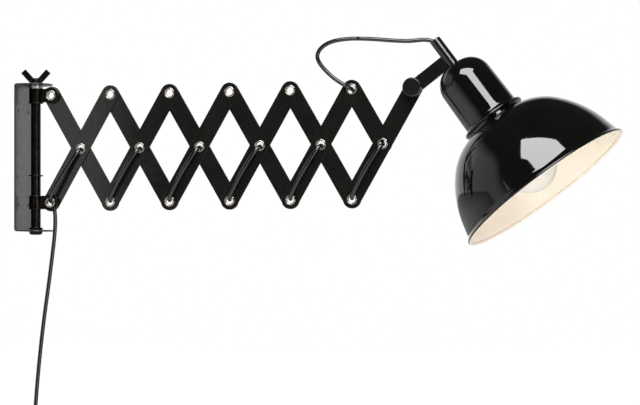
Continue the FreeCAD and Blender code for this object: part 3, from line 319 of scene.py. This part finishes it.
def moulded(name, dark, light, roughness, grain=900.0, depth=0.08, specular=0.5, coat=0.0):
    made = Finish(name, Specular_IOR_Level=specular, Coat_Weight=coat, Coat_Roughness=0.12)
    made.join(made.ramp(made.noise(60.0, 4.0), (0.3, colour(*dark)), (0.7, colour(*light))),
              "Base Color")
    low, high = roughness
    made.join(made.ramp(made.noise(220.0, 3.0), (0.3, low), (0.72, high)), "Roughness")
    made.bump(made.noise(grain, 3.0), depth, 0.0002, soften=0.0003)
    return made.material


cord_pvc = moulded("cord_pvc", (9, 9, 8), (14, 14, 13), (0.12, 0.18), 240.0, 0.03, specular=0.5,
                   coat=0.15)
head_enamel = moulded("head_enamel", (9, 9, 9), (13, 13, 12), (0.14, 0.2), 500.0, 0.04)
knob_plastic = moulded("knob_plastic", (6, 6, 6), (9, 9, 9), (0.24, 0.3), 700.0, 0.04, specular=0.4)
holder_black = moulded("holder_black", (18, 16, 15), (32, 28, 26), (0.28, 0.4), 700.0, 0.08)
tie_plastic = moulded("tie_plastic", (26, 26, 26), (38, 37, 37), (0.4, 0.52), 1500.0, 0.1)
plug_plastic = moulded("plug_plastic", (18, 18, 18), (28, 27, 27), (0.34, 0.46), 1300.0, 0.14)

opal = Finish("opal_glass", Subsurface_Weight=0.35, Subsurface_Scale=0.006, Coat_Weight=0.6,
              Coat_Roughness=0.05, Specular_IOR_Level=0.5)
opal.shader.inputs["Subsurface Radius"].default_value = (1.0, 0.9, 0.8)
opal.join(opal.ramp(opal.noise(30.0), (0.3, colour(250, 238, 222)), (0.7, colour(252, 243, 230))),
          "Base Color")
opal.join(opal.ramp(opal.noise(200.0), (0.3, 0.16), (0.7, 0.24)), "Roughness")
opal.bump(opal.noise(90.0, 2.0), 0.04, 0.0002)
opal_glass = opal.material
print("plastics and glass done")

# %% [markdown]
# ## The cord first
# The mains cord decides more of the picture than any other piece, so it comes before the rest.
# Each length is one quadratic NURBS spline, because such a spline is pulled towards its points
# without touching them and bends like a real cord; straight runs with rounded corners look like
# bent wire. The order has to be set after the points are in place.

# %% Spline helper


def spline_of(name, points):
    """A curve object with one open spline through metres points."""
    data = bpy.data.curves.new(name, "CURVE")
    data.dimensions = "3D"
    spline = data.splines.new("NURBS")
    spline.points.add(len(points) - 1)
    for point, (x, y, z) in zip(spline.points, points):
        point.co = (x, y, z, 1.0)
    spline.order_u = 3
    spline.use_endpoint_u = True
    data.resolution_u = 8
    made = bpy.data.objects.new(name, data)
    bpy.context.scene.collection.objects.link(made)
    return made


def round_cord(name, points, body, node):
    """A finished cord that rides on one body."""
    made = spline_of(name, points)
    made.data.bevel_depth = CORD / 2 * MM
    made.data.bevel_resolution = 5
    made.data.use_fill_caps = True
    made.data.materials.append(cord_pvc)
    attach(made, body)
    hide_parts(node)
    return made


print("cord diameter, mm:", CORD)

# %% [markdown]
# ## Cord laced along the links
# From the lower knuckle's eyelet the cord climbs the front of each rising link to the middle
# eyelet, goes through, and comes down the back of the falling link. Between two eyelets it stands
# clear of the link, since it bends stiffly out of each bore. Six points give that shape: in the
# bore, out of it, two on the way, and back in. The two on the way bow outward and spring a little
# towards the wall and upward. The first lace starts at the knuckle's thicker tab and the last one
# climbs to the top row, so both are longer than the rest.

# %% Lace every link
TAB_FACE, RIM_FACE = 6.85, 2.4
LIFT, BOW, PULL, SPRING = 3.1, 2.4, 1.1, 1.2
EARLY, LATE = 0.28, 0.68


def laced(name, near, far, side, near_face, far_face, body):
    near_y = ARM_Y + side * (near_face + LIFT)
    far_y = ARM_Y + side * (far_face + LIFT)
    run_x, run_z = far[0] - near[0], far[1] - near[1]
    points = [
        mm(near[0], ARM_Y, near[1]), mm(near[0], near_y, near[1]),
        mm(near[0] + EARLY * run_x - SPRING, near_y + side * BOW * 0.8,
           near[1] + EARLY * run_z + SPRING / 2),
        mm(near[0] + LATE * run_x - SPRING, far_y + side * BOW,
           near[1] + LATE * run_z + SPRING / 2),
        mm(far[0], far_y, far[1]), mm(far[0], ARM_Y, far[1])]
    made = round_cord(name + "_pvc", points, body, name)


for pair in range(1, PAIRS + 1):
    near_x = PIVOT_X + 2 * (pair - 1) * STEP_X
    near = (near_x, BOTTOM_Z + PULL)
    middle = (near_x + STEP_X, MIDDLE_Z - PULL * 0.8)
    far = (near_x + 2 * STEP_X, BOTTOM_Z + PULL) if pair < PAIRS else (near_x, TOP_Z)
    laced(f"cord_front_{pair}", near, middle, -1, TAB_FACE if pair == 1 else RIM_FACE, RIM_FACE,
          f"front_{pair}")
    laced(f"cord_rear_{pair}", middle, far, 1, RIM_FACE, RIM_FACE, f"rear_{pair}")
print("laces:", 2 * PAIRS)

# %% [markdown]
# ## The free loop to the head
# Past the last eyelet the cord swings up in a loop and dives into the cord grip, so that the head
# can tilt. The ring is turned from step to step by the change of heading alone, which keeps it
# from twisting.

# %% The loop's two halves
LAST_TOP = (PIVOT_X + 10 * STEP_X, ARM_Y, TOP_Z)
GRIP_MOUTH = (473.09, 2.15, 119.60)
LOOP_LOWER = [(0, 0, 0), (0, -5.5, 0), (-20, -9, 12.4), (-35.7, -11.5, 30.3),
              (-34.8, -12, 41.2), (-23, -11.6, 50.4), (-3, -10.8, 53.8)]
LOOP_UPPER = [(-70.6, -8.6, 2.6), (-41, -6.6, -0.3), (-26, -4.8, -0.9), (-10.1, -2.4, 0.9),
              (0, -0.2, -1.7)]
RING_SIDES = 16


def line_of(name, points):
    """Closely spaced points along the spline of these control points."""
    guide = spline_of(name + "_guide", points)
    mesh = bpy.data.meshes.new_from_object(guide)
    line = [vertex.co.copy() for vertex in mesh.vertices]
    bpy.data.meshes.remove(mesh)
    bpy.data.objects.remove(guide)
    return line


def tube_along(name, line, radius):
    """A closed tube mesh of even radius along a line."""
    headings = [(line[min(i + 1, len(line) - 1)] - line[max(i - 1, 0)]).normalized()
                for i in range(len(line))]
    side = headings[0].orthogonal().normalized()
    work = bmesh.new()
    rings = []
    for index, (spot, heading) in enumerate(zip(line, headings)):
        if index:
            side.rotate(headings[index - 1].rotation_difference(heading))
        other = heading.cross(side)
        ring = []
        for turn in range(RING_SIDES):
            angle = 2 * math.pi * turn / RING_SIDES
            ring.append(work.verts.new(
                spot + (side * math.cos(angle) + other * math.sin(angle)) * radius))
        rings.append(ring)
    for first, second in zip(rings, rings[1:]):
        for turn in range(RING_SIDES):
            after = (turn + 1) % RING_SIDES
            work.faces.new((first[turn], first[after], second[after], second[turn])).smooth = True
    work.faces.new(rings[0][::-1])
    work.faces.new(rings[-1])
    work.normal_update()
    mesh = bpy.data.meshes.new(name)
    work.to_mesh(mesh)
    work.free()
    made = bpy.data.objects.new(name, mesh)
    bpy.context.scene.collection.objects.link(made)
    return made


lower = [mm(*(a + b for a, b in zip(LAST_TOP, point))) for point in LOOP_LOWER]
upper = [mm(*(a + b for a, b in zip(GRIP_MOUTH, point))) for point in LOOP_UPPER]
handover = (lower[-1] + upper[0]) / 2
upper += [mm(*GRIP_MOUTH) - HEAD_AXIS * 11.5 * MM, HEAD + HEAD_AXIS * -32.15 * MM]
for name, points, bodies, length in (
        ("cord_loop_lower", lower + [handover], ("rear_6", "front_6"), 0.1089),
        ("cord_loop_upper", [handover] + upper, ("front_6", "head"), 0.1410)):
    line = line_of(name, points)
    loop = tube_along(name + "_pvc", line, CORD / 2 * MM)
    loop.data.materials.append(cord_pvc)
    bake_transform(loop)
    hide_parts(name)
    print(name, "points along it:", len(line))

# %% [markdown]
# ## The mains lead and its tied coil
# Below the knuckle the cord hangs to the plug. The picture ends before the cord does, so the rest
# is wound into a flat coil and tied, as it would be for storage. A coil wound by hand runs in and
# out again, layer on layer. Sixteen control points a turn, set out by one over the cosine of half
# a step, make the spline touch the true circle.

# %% Lead and coil as one spline
LEAD = [(0, 0, 1.1), (0, 4.2, 1.1), (1.4, 7.2, -13), (0.3, 9.1, -32), (-3, 9.4, -58),
        (-6.8, 8.2, -90), (-10.8, 5.4, -124), (-13.8, 1.4, -160), (-15.9, -3.2, -198),
        (-17.2, -7.5, -236), (-17.8, -10.5, -271), (-17.8, -10.5, -300)]
COIL_CENTRE = (49.8, -7.45, -354.27)
COIL_RADIUS, COIL_PITCH, LAYERS = 33.2, 5.0, 4
PER_LAYER = 2.014 * 2 * math.pi
COIL_STEPS = 129


def wound(angle, reach):
    """Point of the winding at this angle, in millimetres, set out by reach."""
    layer = min(int(angle / PER_LAYER), LAYERS - 1)
    within = angle - layer * PER_LAYER
    travelled = within if layer % 2 == 0 else PER_LAYER - within
    radius = (COIL_RADIUS - COIL_PITCH * travelled / (2 * math.pi)) * reach
    depth = 0.0
    for reversal in range(1, LAYERS):
        past = angle - reversal * PER_LAYER
        depth += COIL_PITCH * (0.5 + 0.5 * math.sin(max(-math.pi / 2, min(math.pi / 2, past))))
    turn = math.pi + angle
    return (COIL_CENTRE[0] + radius * math.cos(turn), COIL_CENTRE[1] + depth,
            COIL_CENTRE[2] + radius * math.sin(turn))


total = LAYERS * PER_LAYER
step = total / COIL_STEPS
reach = 1 / math.cos(step / 2)
turns = [wound((index + 0.5) * step, reach) for index in range(COIL_STEPS)]
coil_tail = mm(18.63, 7.55, -365.72) + Vector((0.322, 0.0, -0.947)) * 11.25 * MM
lead = [mm(PIVOT_X + x, ARM_Y + y, BOTTOM_Z + z) for x, y, z in LEAD]
mains = round_cord("mains_cord_pvc", lead + [mm(*point) for point in turns] + [coil_tail],
                   "lower_knuckle", "mains_lead")
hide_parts("lead_coil")
print("control points in the mains cord:", len(mains.data.splines[0].points))

# %% [markdown]
# ## Turned and spun pieces
# The shade was spun on a lathe, and eyelets, knob and bulb are also bodies of revolution, so one
# helper serves them all: it takes half a cross section as points of radius and height, and carries
# it round an axis. Arcs in the section are sampled finely, which is what makes a reflection run
# smoothly down the shade. Corners sharper than a limit keep a crisp edge.

# %% Revolve a section round an axis


def arc(centre, radius, first, last, steps=8):
    """Points of an arc in the section; angles in degrees, 0 outward and 90 up the axis."""
    return [(centre[0] + radius * math.cos(math.radians(first + (last - first) * i / steps)),
             centre[1] + radius * math.sin(math.radians(first + (last - first) * i / steps)))
            for i in range(steps + 1)]


def revolve(work, section, origin, axis, segments=96, finish_of=None, sharp=35.0):
    """Adds a section in millimetres, turned round axis at origin, to a bmesh. The section is a
    closed loop; points on the axis become poles."""
    axis = axis.normalized()
    side = axis.orthogonal().normalized()
    other = axis.cross(side)
    rings = []
    for radius, height in section:
        base = origin + axis * height * MM
        if abs(radius) < 1e-6:
            rings.append([work.verts.new(base)])
            continue
        ring = []
        for turn in range(segments):
            angle = 2 * math.pi * turn / segments
            out = side * math.cos(angle) + other * math.sin(angle)
            ring.append(work.verts.new(base + out * radius * MM))
        rings.append(ring)
    made = []
    for index, first in enumerate(rings):
        second = rings[(index + 1) % len(rings)]
        if len(first) == 1 and len(second) == 1:
            continue
        for turn in range(segments):
            after = (turn + 1) % segments
            if len(first) == 1:
                corners = (first[0], second[after], second[turn])
            elif len(second) == 1:
                corners = (first[turn], first[after], second[0])
            else:
                corners = (first[turn], first[after], second[after], second[turn])
            face = work.faces.new(corners)
            face.smooth = True
            if finish_of:
                face.material_index = finish_of(index)
            made.append(face)
    bmesh.ops.recalc_face_normals(work, faces=made)
    for edge in {edge for face in made for edge in face.edges}:
        if len(edge.link_faces) == 2 and edge.calc_face_angle(0.0) > math.radians(sharp):
            edge.smooth = False


def piece_from(work, name, finishes, body, nodes):
    """Turns a bmesh into a piece of the lamp."""
    mesh = bpy.data.meshes.new(name)
    work.to_mesh(mesh)
    work.free()
    for finish in finishes:
        mesh.materials.append(finish)
    made = bpy.data.objects.new(name, mesh)
    bpy.context.scene.collection.objects.link(made)
    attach(made, body)
    if nodes:
        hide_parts(*nodes)
    return made


print("revolve ready")

# %% [markdown]
# ## The spun shade
# Cap, ring and bowl are three pieces: the ring clamps the cap's open foot to the bowl's neck. The
# bowl's outline is two tangent arcs and a short straight skirt that ends in a rolled bead. The
# inside is the same outline set in by the metal's thickness, and it takes the white finish.

# %% Bowl outline
WALL = 1.0
CAP_TOP, CAP_FOOT, RING_LOW, NECK_LOW = -7.8, -78.3, -81.5, -84.3
NECK_RADIUS = 31.5
SHOULDER, FLANK, SKIRT = 64.0, 112.0, 21.0
ANGLES = (80.0, 42.0, 14.0)


def bowl_line(inset, steps=26):
    """Neck to mouth, with the wall's inner side at inset 1."""
    line, radius, height = [], NECK_RADIUS, NECK_LOW
    for bend, first, last in ((SHOULDER, ANGLES[0], ANGLES[1]), (FLANK, ANGLES[1], ANGLES[2])):
        for i in range(steps + 1):
            angle = math.radians(first + (last - first) * i / steps)
            start = math.radians(first)
            at = (radius + bend * (math.cos(angle) - math.cos(start)) - inset * math.cos(angle),
                  height - bend * (math.sin(start) - math.sin(angle)) - inset * math.sin(angle))
            if not line or math.dist(line[-1], at) > 1e-6:
                line.append(at)
        radius += bend * (math.cos(math.radians(last)) - math.cos(math.radians(first)))
        height -= bend * (math.sin(math.radians(first)) - math.sin(math.radians(last)))
    slope = math.radians(ANGLES[2])
    for i in range(1, 7):
        run = SKIRT * i / 6
        line.append((radius + run * math.sin(slope) - inset * math.cos(slope),
                     height - run * math.cos(slope) - inset * math.sin(slope)))
    return line


outside, inside = bowl_line(0.0), bowl_line(WALL)
mouth = outside[-1]
print("mouth radius and height, mm:", tuple(round(value, 2) for value in mouth))

# %% Bowl
BEAD = 1.6
work = bmesh.new()
bead_centre = (mouth[0] + WALL / 2, mouth[1])
bead = arc(bead_centre, BEAD, 60.0, -240.0, 24)
section = ([(NECK_RADIUS - WALL, RING_LOW - 0.05), (NECK_RADIUS, RING_LOW - 0.05)]
           + outside[:-1] + bead + inside[:-1][::-1] + [(NECK_RADIUS - WALL, NECK_LOW - WALL)])
white_from = 2 + len(outside) - 1 + 9
revolve(work, section, HEAD, HEAD_AXIS, 160,
        finish_of=lambda index: 1 if index >= white_from else 0, sharp=50.0)
bowl = piece_from(work, "bowl_spun", [shade_black, shade_white], "head", ["shade_bowl"])
print("bowl faces:", len(bowl.data.polygons))

# %% Cap and clamping ring
CAP_RADIUS, FLARE, DOME, FILLET, RING_OUT = 30.0, 31.0, 23.5, 3.5, 36.0
NIPPLE_BORE = 5.06
cap_out = ([(NIPPLE_BORE, CAP_TOP)]
           + arc((CAP_RADIUS - DOME, CAP_TOP - DOME), DOME, 90.0, 0.0, 28))
for i in range(1, 9):
    share = i / 8
    cap_out.append((CAP_RADIUS + (FLARE - CAP_RADIUS) * share,
                    CAP_TOP - DOME + (CAP_FOOT + FILLET - CAP_TOP + DOME) * share))
cap_out += arc((FLARE + FILLET, CAP_FOOT + FILLET), FILLET, 180.0, 258.0, 8)[1:]
cap_out += [(FLARE + FILLET, CAP_FOOT + 0.05)]
cap_in = ([(FLARE - WALL, CAP_FOOT + 0.05), (FLARE - WALL, CAP_FOOT + FILLET)]
          + [(CAP_RADIUS - WALL, CAP_TOP - DOME)]
          + arc((CAP_RADIUS - DOME, CAP_TOP - DOME), DOME - WALL, 0.0, 90.0, 20)[1:]
          + [(NIPPLE_BORE, CAP_TOP - WALL)])
work = bmesh.new()
revolve(work, cap_out + cap_in, HEAD, HEAD_AXIS, 128,
        finish_of=lambda index: 1 if index > len(cap_out) else 0)
cap = piece_from(work, "cap_spun", [shade_black, shade_white], "head", ["shade_cap"])
half = (CAP_FOOT - RING_LOW) / 2
work = bmesh.new()
hoop = ([(NECK_RADIUS - WALL, RING_LOW), (RING_OUT - half, RING_LOW)]
        + arc((RING_OUT - half, RING_LOW + half), half, -90.0, 90.0, 14)[1:]
        + [(NECK_RADIUS - WALL, CAP_FOOT)])
revolve(work, hoop, HEAD, HEAD_AXIS, 128)
ring = piece_from(work, "ring_rolled", [shade_black], "head", ["shade_ring"])
print("cap faces:", len(cap.data.polygons), "ring faces:", len(ring.data.polygons))

# %% [markdown]
# ## Bulb
# A plain opal bulb: a globe, a hollow curve down to the neck, and a screw base. Only the glass
# shows under the shade. The neck's curve is an arc that touches both the globe and the neck's
# cylinder, found with Pythagoras, so the highlight has no kink.

# %% Opal glass
GLOBE_Z, GLOBE, NECK, NECK_CURVE, GLASS = -142.95, 30.0, 14.0, 42.0, 0.9
BASE_LOW = -84.55
rise = math.sqrt((GLOBE + NECK_CURVE) ** 2 - (NECK + NECK_CURVE) ** 2)
meet = math.degrees(math.atan2(rise, NECK + NECK_CURVE))


def glass_line(inset):
    line = [(0.0, GLOBE_Z - GLOBE + inset)]
    line += arc((0.0, GLOBE_Z), GLOBE - inset, -88.0, meet, 44)
    line += arc((NECK + NECK_CURVE, GLOBE_Z + rise), NECK_CURVE + inset, 180.0 + meet, 180.0,
                14)[1:]
    return line + [(NECK - inset, BASE_LOW - 0.05)]


work = bmesh.new()
revolve(work, glass_line(0.0) + glass_line(GLASS)[::-1], HEAD, HEAD_AXIS, 96)
bulb = piece_from(work, "bulb_opal", [opal_glass], "head", ["bulb_glass"])
print("bulb faces:", len(bulb.data.polygons))

# %% [markdown]
# ## Rolled eyelets
# Each pivot is a hollow eyelet: a thin barrel whose two ends are rolled outward over the links.
# The roll is nearly a half circle, and its highlight is the bright crescent beside the cord. The
# section is a closed loop: up the bore, over the front roll, down the barrel, over the back roll.

# %% Eyelets
BORE, BARREL, RIM, LIP = 4.1, 4.55, 5.9, 0.7


def eyelet_section(total):
    """Heights run from 0 at the front face to total at the back face; rolls stand outside."""
    roll = (RIM - BORE) / 2
    middle = (RIM + BORE) / 2
    front = [(middle + roll * math.cos(math.radians(a)), -LIP * math.sin(math.radians(a)))
             for a in range(180, -1, -15)]
    back = [(middle + roll * math.cos(math.radians(a)), total + LIP * math.sin(math.radians(a)))
            for a in range(0, 181, 15)]
    return front + [(BARREL, 0.0)] + [(BARREL, total)] + back


def eyelets(name, node, places, body):
    work = bmesh.new()
    for x, z, front_y, back_y in places:
        revolve(work, eyelet_section(back_y - front_y), mm(x, front_y, z), Vector((0, 1, 0)), 48,
                sharp=60.0)
    return piece_from(work, name, [nickel], body, [node])


RIM_FRONT_Y, RIM_BACK_Y = 1.35, 4.75
TAB_FRONT_Y = -1.15
for pair in range(1, PAIRS + 1):
    near_x = PIVOT_X + 2 * (pair - 1) * STEP_X
    places = [(near_x, TOP_Z, RIM_FRONT_Y if pair > 1 else TAB_FRONT_Y, RIM_BACK_Y),
              (near_x + STEP_X, MIDDLE_Z, RIM_FRONT_Y, RIM_BACK_Y)]
    if pair < PAIRS:
        places.append((near_x + 2 * STEP_X, BOTTOM_Z, RIM_FRONT_Y, RIM_BACK_Y))
    eyelets(f"eyelets_rolled_{pair}", f"eyelets_{pair}", places, f"rear_{pair}")

# %% [markdown]
# ## Finishes on the engineering model's own nodes
# Flat and bent sheet parts already have their true shape, so they stay, and only take a finish.
# A table of node names against materials keeps this step readable, and a last line checks that
# nothing was forgotten.

# %% Dress the CAD nodes
NODE_FINISHES = {
    bracket_enamel: ["wall_bracket"],
    blackened_steel: ["spindle", "spindle_bush", "spindle_cap", "retaining_rings", "wing_nut",
                      "upper_knuckle", "lower_knuckle"],
    zinc_washers: ["spindle_washers"],
    link_enamel: [f"{side}_link_{pair}" for side in ("front", "rear") for pair in range(1, 7)],
    nickel: ["knuckle_eyelet"],
    head_enamel: ["head_strap", "cord_grip"],
    knob_plastic: ["tilt_knob"],
    screw_steel: ["tilt_screw", "tilt_nut", "nipple_nut"],
    nipple_brass: ["nipple"],
    holder_black: ["lampholder"],
    base_nickel: ["bulb_base"],
    tie_plastic: ["coil_tie"],
    plug_plastic: ["plug"],
    pin_nickel: ["plug_pins"],
}
for finish, nodes in NODE_FINISHES.items():
    for node in nodes:
        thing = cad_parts[node]
        for held in thing.material_slots:
            held.material = finish
dressed = {node for nodes in NODE_FINISHES.values() for node in nodes}
bare = [name for name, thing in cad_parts.items()
        if name not in dressed and not thing.hide_render]
print("nodes dressed:", len(dressed), "still bare:", bare)

# %% [markdown]
# ## Floor, room and lights
# A product picture on white. The floor is pale, and glows a little where the camera sees it, so
# that it meets the white behind it without a grey strip. The world is white to the camera and
# through a see-through part. A reflection finds it white only behind the lamp, dimmer on the
# wall's side and nearly dark elsewhere, and it lights the lamp only gently. Three soft boxes do
# the rest. The shade and cord are glossy black, so each soft box is also a shape that will be
# seen in them, and is placed for its reflection as much as for its light.

# %% Pale floor
FLOOR_Z, FLOOR_GLOW = -0.56, 0.72
bpy.ops.mesh.primitive_plane_add(size=30.0, location=(0.3, 0.0, FLOOR_Z))
floor = bpy.context.active_object
floor.name = "floor"
pale = Finish("pale_floor", Roughness=0.85)
pale.join(pale.ramp(pale.noise(3.0), (0.3, colour(206, 206, 204)), (0.7, colour(214, 214, 212))),
          "Base Color")
seen = pale.node("ShaderNodeLightPath")
glow = pale.node("ShaderNodeEmission", {"Color": (1, 1, 1, 1), "Strength": FLOOR_GLOW})
bright = pale.node("ShaderNodeAddShader")
choice = pale.node("ShaderNodeMixShader", {"Fac": seen.outputs["Is Camera Ray"]})
pale.tree.links.new(pale.shader.outputs[0], bright.inputs[0])
pale.tree.links.new(glow.outputs[0], bright.inputs[1])
pale.tree.links.new(pale.shader.outputs[0], choice.inputs[1])
pale.tree.links.new(bright.outputs[0], choice.inputs[2])
pale.tree.links.new(choice.outputs[0], pale.tree.nodes["Material Output"].inputs["Surface"])
floor.data.materials.append(pale.material)
print("floor at, metres:", FLOOR_Z)

# %% World
ROOM_LIGHT, WALL_SIDE_SHARE, DARK_SHARE = 0.46, 0.75, 0.04
world = bpy.data.worlds.new("studio")
bpy.context.scene.world = world
world.use_nodes = True
tree = world.node_tree


def world_node(kind, operation=None, **inputs):
    made = tree.nodes.new(kind)
    if operation:
        made.operation = operation
    for name, value in inputs.items():
        socket = made.inputs[int(name[1:])] if name[1:].isdigit() else made.inputs[
            name.replace("_", " ")]
        if isinstance(value, bpy.types.NodeSocket):
            tree.links.new(value, socket)
        else:
            socket.default_value = value
    return made


def fade(value, start, end):
    """0 below start and 1 above end, smooth between; start may be above end."""
    made = world_node("ShaderNodeMapRange", Value=value, From_Min=start, From_Max=end)
    made.interpolation_type = "SMOOTHSTEP"
    return made.outputs["Result"]


def product(first, second, operation="MULTIPLY"):
    return world_node("ShaderNodeMath", operation, _0=first, _1=second).outputs[0]


towards = world_node("ShaderNodeSeparateXYZ",
                     Vector=world_node("ShaderNodeTexCoord").outputs["Generated"]).outputs
behind = product(fade(towards["Y"], -0.1, 0.2), fade(towards["Z"], 0.62, 0.34))
wall_side = product(fade(towards["X"], -0.7, -0.86), fade(towards["Z"], 0.62, 0.4))
mirrored = product(product(behind, product(wall_side, WALL_SIDE_SHARE), "MAXIMUM"),
                   DARK_SHARE, "MAXIMUM")
path = world_node("ShaderNodeLightPath").outputs
room = world_node("ShaderNodeBackground", Color=(1, 1, 1, 1), Strength=ROOM_LIGHT)
reflection = world_node("ShaderNodeBackground", Color=(1, 1, 1, 1), Strength=mirrored)
backdrop = world_node("ShaderNodeBackground", Color=(1, 1, 1, 1), Strength=1.0)
lit = world_node("ShaderNodeMixShader", Fac=path["Is Glossy Ray"], _1=room.outputs[0],
                 _2=reflection.outputs[0])
seen_through = product(path["Is Camera Ray"], path["Is Transmission Ray"], "MAXIMUM")
shown = world_node("ShaderNodeMixShader", Fac=seen_through, _1=lit.outputs[0],
                   _2=backdrop.outputs[0])
tree.links.new(shown.outputs[0], tree.nodes["World Output"].inputs["Surface"])
print("world ready")

# %% Soft boxes


def soft_box(name, at, towards, width, height, watts, turn=0.0):
    """An oblong light at one point, aimed at another and turned about its aim by degrees."""
    data = bpy.data.lights.new(name, "AREA")
    data.shape = "RECTANGLE"
    data.size, data.size_y, data.energy = width, height, watts
    lamp = bpy.data.objects.new(name, data)
    bpy.context.scene.collection.objects.link(lamp)
    lamp.location = at
    aim = (Vector(towards) - Vector(at)).to_track_quat("-Z", "Y")
    aim.rotate(Quaternion(Vector(towards) - Vector(at), math.radians(-turn)))
    lamp.rotation_euler = aim.to_euler()
    return lamp


soft_box("overhead", (0.426, -1.685, 1.842), (-0.145, -1.158, 1.213),
         width=2.55, height=1.355, watts=150.0, turn=142.6)
soft_box("low_fill", (1.7, -1.5, -0.3), (0.5, 0.0, 0.0), width=1.0, height=0.9, watts=13.0)
soft_box("card", (-0.345, -1.0, 0.06), (-0.345, 0.0, 0.06), width=0.17, height=0.3, watts=0.17)
print("soft boxes:", 3)
